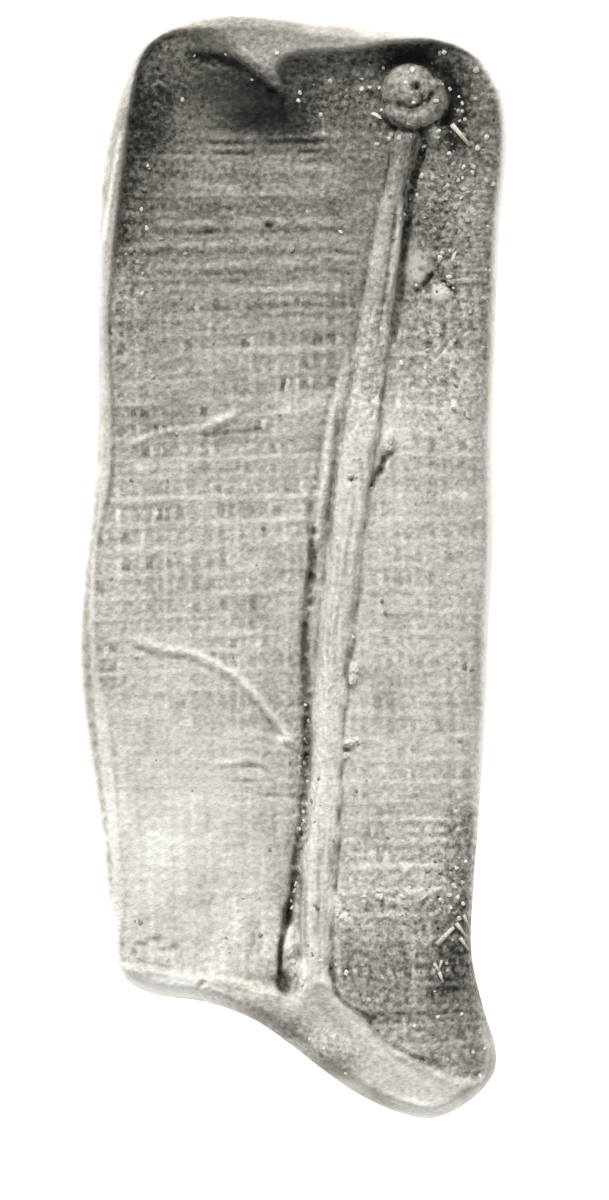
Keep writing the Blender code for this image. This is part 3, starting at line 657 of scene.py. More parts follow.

# How much paler the rib, its right flank, the lip, the outer edge, the knot and its ring are, and where
# The right flank's and the outer edge's paleness is painted highlight, and the ring's darkness is painted
# shade.
RIB_TONE = 0.18
RIB_EDGE = (1.05, 0.90)
# The right flank is paled by a painted highlight, since it turns from the light
RIGHT_FLANK_TONE = 0.16
RIGHT_FLANK = (0.2, 0.9)
LIP_TONE = 0.20
LIP_TONE_REACH = (5.0 * MM, 1.5 * MM)
# A painted highlight along the outer edge, where the rounded side turns from the key light
EDGE_TONE = 0.45
EDGE_TONE_REACH = (0.70 * MM, 0.0)
EDGE_TONE_START = (-0.80, -0.66)
KNOT_TONE = -0.04
KNOT_EDGE = 0.1 * MM
# The ring round the knot is darkened by painted shade
RING_TONE = -0.16

# Patches on the smooth mud of the lip, the foot, the rib and the knot; the dark ones on the foot's outer
# slope, beside the rib below the knot and right of the knot are painted shade
SMOOTH_PATCHES = (
    (-3.5, 41.5, 5.5, 1.8, -0.36), (-3.5, 38.5, 3.0, 2.5, -0.14), (8.4, 31.0, 2.0, 3.5, -0.34),
    (7.6, 26.0, 2.0, 3.0, -0.12), (8.2, 32.6, 1.2, 1.0, -0.16), (-2.4, -33.8, 1.8, 1.2, -0.36),
    (0.0, -35.2, 1.8, 1.4, -0.40), (2.9, -37.6, 2.2, 1.4, -0.52), (-5.0, -33.0, 2.0, 0.8, -0.15),
    (6.2, 12.0, 1.8, 7.0, 0.02), (7.8, 34.2, 1.0, 0.6, 0.12), (11.5, 35.6, 0.9, 1.6, -0.30),
    (-13.3, 30.0, 1.4, 6.5, -0.22), (-14.7, 19.0, 0.9, 9.0, -0.20), (-3.9, 38.4, 1.0, 0.8, 0.25),
    (4.9, 12.5, 1.2, 5.0, 0.10), (-3.9, -31.3, 1.5, 0.9, -0.18), (0.6, -31.3, 0.8, 0.8, -0.24),
    (-13.2, -24.5, 1.0, 4.0, -0.16), (3.2, -25.4, 0.4, 1.2, 0.20), (2.0, 41.3, 3.5, 0.7, -0.14),
    (-1.8, -31.3, 1.6, 0.5, -0.10), (5.2, -34.3, 0.8, 0.8, 0.14), (-4.5, -31.2, 2.0, 0.6, -0.16),
    (14.0, 38.4, 0.9, 1.0, -0.20), (3.6, 41.4, 1.4, 0.7, -0.10), (2.9, -30.9, 0.8, 1.2, 0.14),
    (-2.5, -34.5, 2.0, 1.5, -0.16), (4.0, -38.2, 2.0, 1.2, -0.10), (-4.9, -31.3, 4.0, 0.8, -0.26),
    (6.0, -40.3, 2.5, 0.9, -0.26), (-12.0, -30.5, 3.0, 0.6, -0.22), (-10.5, -32.0, 3.5, 0.6, 0.25),
    (14.4, 14.2, 0.8, 3.0, -0.26), (14.5, -16.1, 0.8, 2.5, -0.26),
)

# Stains, painted shade and painted highlights that darken or pale the mud along a line: points in mm, how far
# each reaches, and how much paler
# Most dark lines are painted shade in cracks and grooves and under raised things, and some pale ones are
# painted highlights on ridges.
STAINS_AND_PAINTED_LIGHT = {
    # Painted shade in the crack
    "crack left of the rib's foot": (
        ((0.2, -23.7), (-0.1, -25.6), (-0.4, -27.5), (-0.8, -28.7), (-0.9, -30.2), (-1.1, -31.7),
         (-0.3, -32.5)),
        0.28, -0.36,
    ),
    "shadow under the tongue": (((-7.3, 38.4), (-4.9, 37.9), (-2.8, 36.4), (-0.1, 34.0)), 1.20, -0.16),
    # Painted shade under the fibre
    "under the slanting fibre": (((-6.8, 9.9), (-5.0, 10.2), (-3.2, 10.4), (-1.6, 10.3)), 0.32, -0.25),
    # Painted highlight along the lip's ridge
    "bright line on the lip": (BRIGHT_LIP_LINE, 0.30, 0.22),
    "shadow right of the knot": (((12.0, 36.6), (12.4, 35.5), (12.0, 34.2), (11.3, 33.6)), 0.45, -0.35),
    "shade left of the rib's foot": (((0.9, -23.5), (0.7, -26.5), (0.9, -29.8)), 0.50, -0.22),
    # Painted shade in the crack
    "crack by the rib": (((7.6, 8.8), (7.0, 8.4), (6.8, 7.4), (6.4, 6.8)), 0.26, -0.16),
    # Painted highlight along the raised thread
    "loose thread": (
        ((-6.2, -7.3), (-4.4, -8.2), (-3.3, -9.2), (-2.2, -10.4), (-1.3, -11.6), (-0.3, -12.8), (0.8, -14.0)),
        0.32, 0.18,
    ),
    "left end of the loose thread": (
        ((-12.9, -4.6), (-12.2, -5.4), (-10.8, -5.9), (-9.0, -6.4)),
        0.36, -0.12,
    ),
    # Painted shadow under the thread
    "under the loose thread": (
        ((-12.3, -5.9), (-9.9, -6.8), (-7.9, -7.1), (-5.8, -8.0), (-4.4, -8.9), (-3.1, -10.1), (-2.0, -11.4),
         (-0.8, -12.8)),
        0.18, -0.18,
    ),
    "pale streak on the foot": (((2.9, -32.6), (5.4, -35.3), (8.3, -37.9), (11.2, -39.6)), 0.34, 0.16),
    "pale streak on the toe": (((6.0, -38.6), (8.5, -40.3), (11.0, -41.1)), 0.26, 0.06),
    "dark streak on the foot": (((1.6, -32.6), (4.4, -35.6), (7.3, -38.2), (10.0, -39.9)), 0.30, -0.08),
    # Painted shade in the fine groove down the rib's foot
    "line down the rib's foot": (((2.15, -19.5), (2.05, -24.0), (2.0, -29.0)), 0.20, -0.13),
    # Painted shade in the ditch at the rib's left edge
    "left edge of the rib's foot": (((1.1, -24.0), (1.0, -26.5), (1.0, -29.0)), 0.18, -0.22),
    # Painted shadow cast by the rib
    "strip right of the rib": (((8.6, 24.5), (8.3, 21.5), (8.0, 19.0), (7.8, 17.0)), 0.34, -0.12),
    # Painted shade in the crevice and the crack
    "crevice at the right": (((9.4, 20.8), (10.3, 21.7), (10.8, 22.3)), 0.28, -0.25),
    "crack at the right": (((11.4, 21.8), (11.8, 21.4), (12.3, 21.0)), 0.24, -0.50),
    # Painted shade in the groove
    "lip's outer groove": (
        ((-15.6, -1.0), (-15.6, -7.0), (-15.2, -11.6), (-14.7, -16.3), (-14.0, -21.7), (-13.8, -26.5)),
        0.50, -0.05,
    ),
    "second seam": (((3.8, 13.9), (3.0, 11.1), (2.6, 8.1), (2.2, 5.1)), 0.34, 0.16),
    # Painted shade in the ditch
    "ditch left of the rib": (
        ((1.2, -2.5), (1.0, -8.0), (1.1, -14.6), (0.8, -18.4), (0.2, -23.0)),
        0.40, -0.16,
    ),
}

# How much paler the raised threads are, with dust and painted highlight, how much darker the low places are,
# with painted shade and dirt, and the relief that shows in full
RAISED_TONE = 0.20
SUNKEN_TONE = 0.45
FULL_RELIEF = 0.22 * MM

# How gritty the face is from the foot to the top, and by patch as above
GRIT_LEVELS = (0.55, 0.32, 0.30, 0.32, 0.34, 0.42, 0.50, 0.55)
GRIT_PATCHES = (
    (11.5, 26.0, 3.5, 9.0, 0.60), (8.5, -28.0, 6.0, 7.0, 0.60), (-9.0, -20.0, 6.0, 8.0, -0.30),
    (0.9, -18.0, 0.8, 8.0, 0.60), (12.5, -22.0, 2.5, 4.0, 0.50), (3.5, 36.0, 3.5, 3.0, 0.40),
    (-3.6, 35.5, 5.0, 3.0, -0.40), (-11.0, 35.0, 2.5, 4.0, 0.25), (9.3, 22.8, 1.0, 1.4, -0.90),
    (11.3, 20.7, 0.8, 0.7, -0.90), (11.0, 15.0, 3.0, 5.0, 0.45), (10.5, -3.0, 4.0, 10.0, 0.08),
    (-12.5, 22.0, 1.5, 8.0, 0.40),
)
SMOOTH_GRIT = 0.15
SMOOTH_GRIT_PATCHES = (
    (-4.0, 38.5, 4.0, 2.5, 0.40), (8.4, 31.0, 2.0, 4.0, 0.50), (1.0, -36.5, 5.0, 2.0, 0.60),
    (9.5, 35.5, 3.0, 3.0, 0.55), (6.4, 14.0, 2.5, 9.0, 0.75), (3.0, -10.0, 2.5, 14.0, 0.25),
    (-5.0, -32.6, 4.0, 1.0, 0.40),
)


def smooth_step(low, high, value):
    t = np.clip((value - low) / (high - low), 0.0, 1.0)
    return t * t * (3.0 - 2.0 * t)


def on_slab(shares):
    """Points given as shares of half the width and length, in metres."""
    return np.asarray(shares, float) * (WIDTH / 2, LENGTH / 2)


def curve_through(points, closed=False):
    """A smooth line through the points, as a list of sampled stretches, one between each two points."""
    points = np.asarray(points, float)
    if closed:
        points = np.vstack((points[-1:], points, points[:2]))
    else:
        points = np.vstack((2 * points[:1] - points[1:2], points, 2 * points[-1:] - points[-2:-1]))
    knots = np.concatenate(((0.0,), np.cumsum(np.hypot(*np.diff(points, axis=0).T))))
    slopes = (points[2:] - points[:-2]) / (knots[2:] - knots[:-2])[:, None]
    s = np.linspace(0.0, 1.0, CURVE_SAMPLES + 1)[:, None]
    stretches = []
    for i in range(1, len(points) - 2):
        reach = knots[i + 1] - knots[i]
        stretches.append(
            (1 + 2 * s) * (1 - s) ** 2 * points[i] + s ** 2 * (3 - 2 * s) * points[i + 1]
            + reach * s * (1 - s) ** 2 * slopes[i - 1] + reach * s ** 2 * (s - 1) * slopes[i]
        )
    return stretches


def join(stretches):
    """One polyline out of sampled stretches."""
    return np.vstack([piece[:-1] for piece in stretches] + [stretches[-1][-1:]])


def walk(line, share):
    """The point at each share of a polyline's length."""
    run = np.concatenate(((0.0,), np.cumsum(np.hypot(*np.diff(line, axis=0).T))))
    at = share * run[-1]
    return np.stack((np.interp(at, run, line[:, 0]), np.interp(at, run, line[:, 1])), axis=-1)


def trace(line, x, y):
    """Distance to a polyline, share of its length at the nearest point, and 1 or -1 for right or left."""
    starts, steps = line[:-1], np.diff(line, axis=0)
    lengths = np.hypot(*steps.T)
    run = np.concatenate(((0.0,), np.cumsum(lengths)))
    best = np.full(x.shape, np.inf)
    share = np.zeros(x.shape)
    hand = np.ones(x.shape)
    for start, step, length, before in zip(starts, steps, lengths, run):
        dx, dy = x - start[0], y - start[1]
        t = np.clip((dx * step[0] + dy * step[1]) / length ** 2, 0.0, 1.0)
        distance = np.hypot(dx - t * step[0], dy - t * step[1])
        nearer = distance < best
        best = np.where(nearer, distance, best)
        share = np.where(nearer, (before + t * length) / run[-1], share)
        hand = np.where(nearer, np.where(dx * step[1] - dy * step[0] > 0, 1.0, -1.0), hand)
    return best, share, hand


def outline_sides():
    """The six stretches of the outline, each a polyline, and the whole closed outline."""
    parts = (LEFT_SIDE, TOP_LEFT_SIDE, TOP_RIGHT_SIDE, RIGHT_SIDE, BOTTOM_RIGHT_SIDE, BOTTOM_LEFT_SIDE)
    stretches = curve_through(on_slab([point for part in parts for point in part]), closed=True)
    sides = []
    first = 0
    for part in parts:
        sides.append(join(stretches[first:first + len(part)]))
        first += len(part)
    return sides, join(stretches)


SIDES, OUTLINE = outline_sides()
RIB = join(curve_through(on_slab(RIB_LINE)))
PRINT = join(curve_through(on_slab(PRINT_EDGE), closed=True))
ROLL = join(curve_through(on_slab(KNOT_ROLL)))
MIDDLE = (OUTLINE.min(axis=0) + OUTLINE.max(axis=0)) / 2


class Spots:
    """Places on the slab, with their distances to its outline, to its print's edge and to its rib."""

    def __init__(self, x, y):
        self.x, self.y = x, y
        self.across, self.along = x / (WIDTH / 2), y / (LENGTH / 2)
        self.from_edge = trace(OUTLINE, x, y)[0]
        distance, _, hand = trace(PRINT, x, y)
        self.in_print = hand * distance
        distance, share, hand = trace(RIB, x, y)
        half = RIB_WIDTH / 2 * np.interp(share, RIB_STATIONS, RIB_BREADTHS)
        self.beside_rib, self.rib_share = hand * distance, share
        self.rib_half = half * uneven("rib's width", share * LENGTH, hand)


def uneven(name, x, y):
    """How much there is of an uneven thing at each place: smooth seeded noise that swings about its mean."""
    seed, size_x, size_y, mean, swing = UNEVENNESS[name]
    values = np.random.default_rng(seed).uniform(-1, 1, (NOISE_CELLS, NOISE_CELLS))
    u, v = x / size_x, y / size_y
    i, j = np.floor(u).astype(int), np.floor(v).astype(int)
    s, t = smooth_step(0, 1, u - i), smooth_step(0, 1, v - j)
    i, j = i % NOISE_CELLS, j % NOISE_CELLS
    i_next, j_next = (i + 1) % NOISE_CELLS, (j + 1) % NOISE_CELLS
    lower = values[i, j] * (1 - s) + values[i_next, j] * s
    upper = values[i, j_next] * (1 - s) + values[i_next, j_next] * s
    return mean + swing * (lower * (1 - t) + upper * t)


def window(span, share):
    """Rises between the first two shares of the span and fades between the last two."""
    return smooth_step(span[0], span[1], share) * smooth_step(span[3], span[2], share)


def climb(along):
    """How far each end has bowed up, from 0 at the low place to 1 at the top end and at the foot."""
    top = np.clip((along - LOW_PLACE) / (1 - LOW_PLACE), 0, 1) ** 2
    foot = np.clip((LOW_PLACE - along) / (1 + LOW_PLACE), 0, 1) ** 2
    return top, foot


def field(spots):
    """The printed face: bowed along its length, crowned across its lower half, and falling at the toe."""
    top, foot = climb(spots.along)
    crown = CROWN * smooth_step(*CROWN_SPAN, spots.along) * (spots.across - CROWN_LINE) ** 2
    toe = TOE_FALL * smooth_step(*TOE_SPAN, spots.along) * smooth_step(*TOE_SIDE, spots.across)
    return FIELD_THICKNESS + TOP_RISE * top + FOOT_RISE * foot - crown - toe


def hollows(spots):
    """Shallow hollows in the print, on both sides of the lip's tongue and below it."""
    depth = np.zeros(spots.x.shape)
    for place in on_slab(HOLLOW_PLACES):
        away = np.hypot(spots.x - place[0], (spots.y - place[1]) * HOLLOW_SQUASH) / (HOLLOW_WIDTH / 2)
        depth = np.maximum(depth, HOLLOW_DEPTH * np.exp(-away ** 2))
    return depth


def lip_softness(spots):
    """How softly the lip meets the print: crisply, apart from the left of its tongue."""
    return LIP_SOFTNESS * (1 + SOFT_LIP_GAIN * oval(spots, *SOFT_LIP_PLACE))


def lip(spots):
    """The lip outside the printed face, high at the top and the foot, and low at the right."""
    leftward = smooth_step(*LEFT_LIP_SPAN, spots.across)
    upward = smooth_step(*SIDE_LIP_SPAN, spots.along)
    height = SIDE_LIP_HEIGHT * np.ones(spots.x.shape)
    for share in (leftward, upward):
        height *= LOW_LIP_SHARE + (1 - LOW_LIP_SHARE) * share
    for end_height, span in ((TOP_LIP_HEIGHT, TOP_SPAN), (FOOT_LIP_HEIGHT, FOOT_SPAN)):
        height += (end_height - height) * smooth_step(*span, spots.along)
    soft = lip_softness(spots)
    return height * smooth_step(-soft, soft, -spots.in_print)


def rib(spots):
    """The seam rib, with the groove at its left in the lower half and at its right near the knot."""
    beside, half, share = spots.beside_rib, spots.rib_half, spots.rib_share
    ridge = RIB_HEIGHT * np.clip(1 - (beside / half) ** 2, 0, 1) ** RIB_FULLNESS * window(RIB_SPAN, share)
    ridge *= smooth_step(*KNOT_MEETING, np.minimum(*from_knot(spots)))
    left = np.exp(-((beside + half + GROOVE_WIDTH / 2) / GROOVE_WIDTH) ** 2)
    right = np.exp(-((beside - half - GROOVE_WIDTH) / GROOVE_WIDTH) ** 2)
    grooves = left * window(LEFT_GROOVE_SPAN, share) + right * window(RIGHT_GROOVE_SPAN, share)
    return ridge - GROOVE_DEPTH * grooves


def from_knot(spots):
    """Distances outside the knot's ball and outside its roll, negative inside them."""
    centre = on_slab(KNOT_PLACE)
    ball = np.hypot(spots.x - centre[0], spots.y - centre[1]) - KNOT_DIAMETER / 2
    return ball, trace(ROLL, spots.x, spots.y)[0] - KNOT_ROLL_WIDTH / 2


def domed(outside, radius, height):
    """A round dome inside a line, by the distance outside it."""
    return height * np.clip(1 - np.clip(1 + outside / radius, 0, 1) ** 2, 0, 1) ** KNOT_FULLNESS


def knot_ring(spots):
    """1 along the ring round the knot, which is open at the lower left, where the rib comes in."""
    away = np.minimum(*from_knot(spots))
    centre = on_slab(KNOT_PLACE)
    upper_right = (spots.x - centre[0] + spots.y - centre[1]) / (KNOT_DIAMETER / 2)
    around = np.exp(-((away - KNOT_RING_WIDTH / 2) / (KNOT_RING_WIDTH / 2)) ** 2)
    return around * smooth_step(*KNOT_RING_OPENING, upper_right)


def knot(spots):
    """A ball of mud on a thick roll, in a shallow ring."""
    ball, roll = from_knot(spots)
    lump = np.maximum(
        domed(ball, KNOT_DIAMETER / 2, KNOT_HEIGHT), domed(roll, KNOT_ROLL_WIDTH / 2, KNOT_ROLL_HEIGHT)
    )
    return lump - KNOT_RING_DEPTH * knot_ring(spots)


def cloth_share(spots):
    """Where the cloth has left its print, from 0 on the lip, the rib, the knot and the lumps to 1."""
    half = spots.rib_half * window(RIB_SPAN, spots.rib_share)
    off_rib = smooth_step(0, PRINT_FADE, np.abs(spots.beside_rib) - half)
    off_knot = smooth_step(0, PRINT_FADE, np.minimum(*from_knot(spots)))
    off_lip = smooth_step(0, LIP_FADE, 1 - on_lip(spots))
    off_lumps = 1 - LUMP_COVER * np.max([pad(spots, *place) for *place, _ in LUMPS], axis=0)
    return off_lip * off_rib * off_knot * off_lumps


def thread_count(seed, pitch, place):
    """Number of threads up to a place, whole on each thread, for uneven hand-woven spacing."""
    total = int(THREAD_COVER * LENGTH / pitch)
    gaps = pitch * (1 + THREAD_UNEVENNESS * np.random.default_rng(seed).uniform(-1, 1, total))
    places = np.cumsum(gaps)
    return np.interp(place, places - places[-1] / 2, np.arange(total))


def threads(spots):
    """Counts of warps and wefts at each place. The cloth lay a little skew, and its threads wander."""
    slant = WEFT_SLANT * window(WEFT_SLANT_SPAN, spots.along) * smooth_step(*WEFT_SLANT_SIDE, spots.across)
    weft_place = spots.y - slant * spots.x + uneven("wefts' drift", spots.x, spots.y)
    warp_place = spots.x + WARP_SLANT * spots.y + uneven("warps' drift", spots.x, spots.y)
    return thread_count(WARP_SEED, WARP_PITCH, warp_place), thread_count(WEFT_SEED, WEFT_PITCH, weft_place)


def region(spots, name):
    """1 in a region of the print, falling smoothly to 0 beyond its edges."""
    share = np.ones(spots.x.shape)
    for axis, outside, inside in REGIONS[name]:
        share *= smooth_step(outside, inside, getattr(spots, axis))
    return share


def print_strengths(spots):
    """How clearly each part of the print shows at each place."""
    strengths = {
        part: sum(amount * region(spots, name) for name, amount in amounts.items())
        for part, amounts in PRINT_STRENGTHS.items()
    }
    strengths["pits"] += sum(amount * oval(spots, *place) for *place, amount in CLEAR_ROWS)
    for part in ("wefts", "pits"):
        strengths[part] *= 1 - MIDDLE_RIGHT_LOSS * region(spots, "middle right")
    return strengths


def gap(count):
    """1 between two threads and 0 on each of them."""
    return smooth_step(*GAP_SPAN, np.abs(count - np.round(count)))


def thread_line(name, count, run):
    """Raised threads, every other one stronger, each stronger and weaker along its run."""
    line = np.round(count)
    strength = uneven(name, run, line) + THREAD_ALTERNATION * np.cos(np.pi * line)
    return (1 + np.cos(2 * np.pi * count)) / 2 * np.clip(strength, *THREAD_STRENGTHS)


def cloth_print(spots):
    """The raised threads, with rows of pits between the strong wefts and slots between all of them."""
    warp_count, weft_count = threads(spots)
    shares = print_strengths(spots)
    wefts = thread_line("wefts", weft_count, spots.x)
    warps = thread_line("warps", warp_count, spots.y)
    between_strong_wefts = smooth_step(*ROW_SPAN, 2 * np.abs(weft_count / 2 - np.round(weft_count / 2)))
    clear = np.clip(uneven("clearness", spots.x, spots.y), *CLEARNESS)
    pits = between_strong_wefts * gap(warp_count) * clear
    slots = gap(weft_count) * np.clip(uneven("slots", spots.x, np.floor(weft_count)), 0, 1)
    relief = WEFT_HEIGHT * shares["wefts"] * wefts + WARP_HEIGHT * shares["warps"] * warps
    relief -= PIT_DEPTH * shares["pits"] * pits + SLOT_DEPTH * shares["slots"] * slots
    return relief * cloth_share(spots)


def stroke(spots, points, reach, ends=STROKE_ENDS):
    """1 on a smooth line through points in mm, falling to 0 at its reach and tapering at both ends."""
    line = join(curve_through(np.array(points) * MM))
    low, high = line.min(axis=0) - reach, line.max(axis=0) + reach
    near = (spots.x > low[0]) & (spots.x < high[0]) & (spots.y > low[1]) & (spots.y < high[1])
    distance, share, _ = trace(line, spots.x[near], spots.y[near])
    height = np.clip(1 - (distance / reach) ** 2, 0, 1) ** STROKE_FULLNESS
    profile = np.zeros(spots.x.shape)
    profile[near] = height * window((0, ends, 1 - ends, 1), share)
    return profile


def oval(spots, x, y, half_x, half_y):
    """1 at a place in mm, falling smoothly to 0 around it."""
    away = ((spots.x / MM - x) / half_x) ** 2 + ((spots.y / MM - y) / half_y) ** 2
    return np.exp(-away)


def pad(spots, x, y, half_x, half_y):
    """1 over a flat place in mm, falling steeply to 0 around it."""
    away = ((spots.x / MM - x) / half_x) ** 2 + ((spots.y / MM - y) / half_y) ** 2
    return np.exp(-away ** 2)


def single_threads(spots, lines):
    """1 on single threads, beaded where others cross them."""
    shown = np.zeros(spots.x.shape)
    for points in lines:
        shown = np.maximum(shown, stroke(spots, points, STRONG_THREAD_REACH))
    beads = uneven("single threads", spots.x, spots.y)
    return shown * beads * print_strengths(spots)["single threads"] * cloth_share(spots)


def ridges(spots):
    relief = np.zeros(spots.x.shape)
    for points, reach, height in RIDGES.values():
        relief = np.maximum(relief, height * MM * stroke(spots, points, reach * MM))
    return relief * uneven("ridges", spots.x, spots.y)


def grooves(spots):
    relief = np.zeros(spots.x.shape)
    for points, reach, depth in GROOVES.values():
        relief = np.maximum(relief, depth * MM * stroke(spots, points, reach * MM, GROOVE_ENDS))
    return relief * uneven("grooves", spots.x, spots.y)


def dents(spots):
    return sum(depth * MM * oval(spots, *place) for *place, depth in DENTS)


def lumps(spots):
    return np.max([height * MM * pad(spots, *place) for *place, height in LUMPS], axis=0)


def strands(spots):
    """Lengthwise strands of the sewing under the rib, and the broken lines that edge it."""
    across = spots.beside_rib / spots.rib_half
    run = spots.rib_share * LENGTH
    wander = uneven("strands' wander", run, across)
    lines = np.cos(STRAND_COUNT * np.pi * (across + wander)) * np.clip(uneven("strands", run, across), 0, 1)
    edge = np.exp(-((np.abs(spots.beside_rib) - spots.rib_half) / RIB_LINE_WIDTH) ** 2)
    broken = np.clip(uneven("rib's edge lines", run, np.sign(across)), 0, 1)
    in_rib = smooth_step(*STRAND_SPAN, np.abs(across))
    off_knot = smooth_step(0, KNOT_MEETING[1], np.minimum(*from_knot(spots)))
    shown = window(RIB_SPAN, spots.rib_share) * off_knot
    return (STRAND_HEIGHT * lines * in_rib - RIB_LINE_DEPTH * edge * broken) * shown


def unevenness(spots):
    """Small lumps all over the face, and pebbles where it is gritty, lower where the mud was smoothed."""
    lumpy = sum(uneven(name, spots.x, spots.y) for name in ("fine lumps", "middling lumps", "broad lumps"))
    pebbles = sum(uneven(name, spots.x, spots.y) for name in ("pebbles", "small pebbles"))
    share = SMOOTH_PEBBLES + (1 - SMOOTH_PEBBLES) * cloth_share(spots)
    return lumpy + PEBBLE_HEIGHT * grit(spots) * share * pebbles


def fine_relief(spots):
    """All relief that is too fine for the solid."""
    woven = cloth_print(spots) + STRONG_THREAD_HEIGHT * single_threads(spots, STRONG_THREADS)
    raised = np.maximum(woven, ridges(spots))
    return raised + lumps(spots) + strands(spots) + unevenness(spots) - grooves(spots) - dents(spots)


def side_line(along):
    """Height of the widest line round the side."""
    return SIDE_HEIGHT + SIDE_RISE * climb(along)[0]


def printed_face(spots, relief):
    """Height of the upper face, rounded over to the side line at the outline."""
    surface = field(spots) - hollows(spots) + lip(spots) + rib(spots) + knot(spots) + relief
    inside = np.clip(spots.from_edge / EDGE_ROUNDING, 0, 1)
    side = side_line(spots.along)
    return side + (surface - side) * np.sqrt(1 - (1 - inside) ** 2)


def thumb_marks(spots):
    """Two staggered rows of shallow thumb marks that smoothed the domed side."""
    marks = np.zeros(spots.x.shape)
    for row, across in enumerate(THUMB_SIDES):
        for along in np.arange(*THUMB_SPAN, THUMB_PITCH) + row * THUMB_PITCH / 2:
            place = on_slab((across, along))
            away = np.hypot(spots.x - place[0], spots.y - place[1]) / (THUMB_WIDTH / 2)
            marks = np.maximum(marks, THUMB_DEPTH * np.clip(1 - away ** 2, 0, 1) ** 2)
    return marks


def domed_side(spots):
    """Height of the underside: upright at the side line, round below, and flat where it rests."""
    inside = np.clip(spots.from_edge / BELLY_WIDTH, 0, 1)
    dome = (side_line(spots.along) + BELLY_FLAT) * (1 - np.sqrt(1 - (1 - inside) ** 2)) - BELLY_FLAT
    return np.clip(dome + thumb_marks(spots) * smooth_step(0.0, BELLY_FLAT, dome), 0, None)


def coons_patch(foot, head, left, right, s, t):
    """A net stretched between four polylines, at the shares s across and t along."""
    s1, t1 = s[:, None], t[:, None]
    edges = (1 - t1) * walk(foot, s) + t1 * walk(head, s) + (1 - s1) * walk(left, t) + s1 * walk(right, t)
    foot_corners = (1 - s1) * foot[0] + s1 * foot[-1]
    head_corners = (1 - s1) * head[0] + s1 * head[-1]
    return edges - (1 - t1) * foot_corners - t1 * head_corners


def crowd(share):
    """Moves shares from 0 to 1 closer to both ends, where the rim and the rib are."""
    return share - CROWDING * np.sin(2 * np.pi * share) / (2 * np.pi)


def spread(u, v):
    """Places on the slab of the lattice points u across and v along, two panels that meet on the rib."""
    left, top_left, top_right, right, bottom_right, bottom_left = SIDES
    seam = LEFT_CELLS / (LEFT_CELLS + RIGHT_CELLS)
    left_share = crowd(np.clip(u / seam, 0, 1))
    right_share = crowd(np.clip((u - seam) / (1 - seam), 0, 1))
    left_panel = coons_patch(bottom_left[::-1], top_left, left, RIB, left_share, crowd(v))
    right_panel = coons_patch(bottom_right[::-1], top_right, RIB, right[::-1], right_share, crowd(v))
    return np.where((u < seam)[:, None], left_panel, right_panel)


def cut_along(bm, axis, cuts):
    """Cuts a block into even slices along one axis."""
    edges = [edge for edge in bm.edges if abs(edge.verts[0].co[axis] - edge.verts[1].co[axis]) > NEAR]
    bmesh.ops.subdivide_edges(bm, edges=edges, cuts=cuts, use_grid_fill=True)


def lattice_mesh():
    """A unit cube cut into the lattice, with finer cells on its upper face."""
    bm = bmesh.new()
    bmesh.ops.create_cube(bm, size=2 * UNIT_HALF)
    cut_along(bm, 0, LEFT_CELLS + RIGHT_CELLS - 1)
    cut_along(bm, 1, LENGTH_CELLS - 1)
    cut_along(bm, 2, SIDE_CELLS - 1)
    upper = [edge for edge in bm.edges if min(vert.co.z for vert in edge.verts) > UNIT_HALF - NEAR]
    bmesh.ops.subdivide_edges(bm, edges=upper, cuts=FACE_CUTS, use_grid_fill=True)
    mesh = bpy.data.meshes.new("pressed_mud")
    bm.to_mesh(mesh)
    bm.free()
    return mesh


def read_points(mesh):
    points = np.zeros(len(mesh.vertices) * 3)
    mesh.vertices.foreach_get("co", points)
    return points.reshape(-1, 3)


def write_points(mesh, points):
    mesh.vertices.foreach_set("co", points.ravel())
    mesh.update()


def paint(mesh, name, values):
    """Keeps one number for each point of the mesh, for the material to read."""
    mesh.attributes.new(name, "FLOAT", "POINT").data.foreach_set("value", values)


def patched(spots, levels, patches):
    """A level that changes from the foot to the top, and by patches."""
    total = np.interp(spots.along, TONE_PLACES, levels)
    for *place, amount in patches:
        total += amount * oval(spots, *place)
    return total


def on_lip(spots):
    """Where the mud is smooth outside the print. At the right the print runs out to a narrow rim."""
    soft = lip_softness(spots)
    outside = smooth_step(soft, -soft, spots.in_print)
    runs_out = smooth_step(*RUN_OUT_SIDE, spots.across) * window(RUN_OUT_SPAN, spots.along)
    rim = smooth_step(RIM_WIDTH, RIM_WIDTH / 2, spots.from_edge) * smooth_step(*RIM_START, spots.along)
    return np.maximum(outside * (1 - runs_out), rim)


def on_rib(spots):
    shown = window(RIB_SPAN, spots.rib_share)
    return smooth_step(*RIB_EDGE, np.abs(spots.beside_rib) / spots.rib_half) * shown


def on_knot(spots):
    return smooth_step(0, -KNOT_EDGE, np.minimum(*from_knot(spots)))


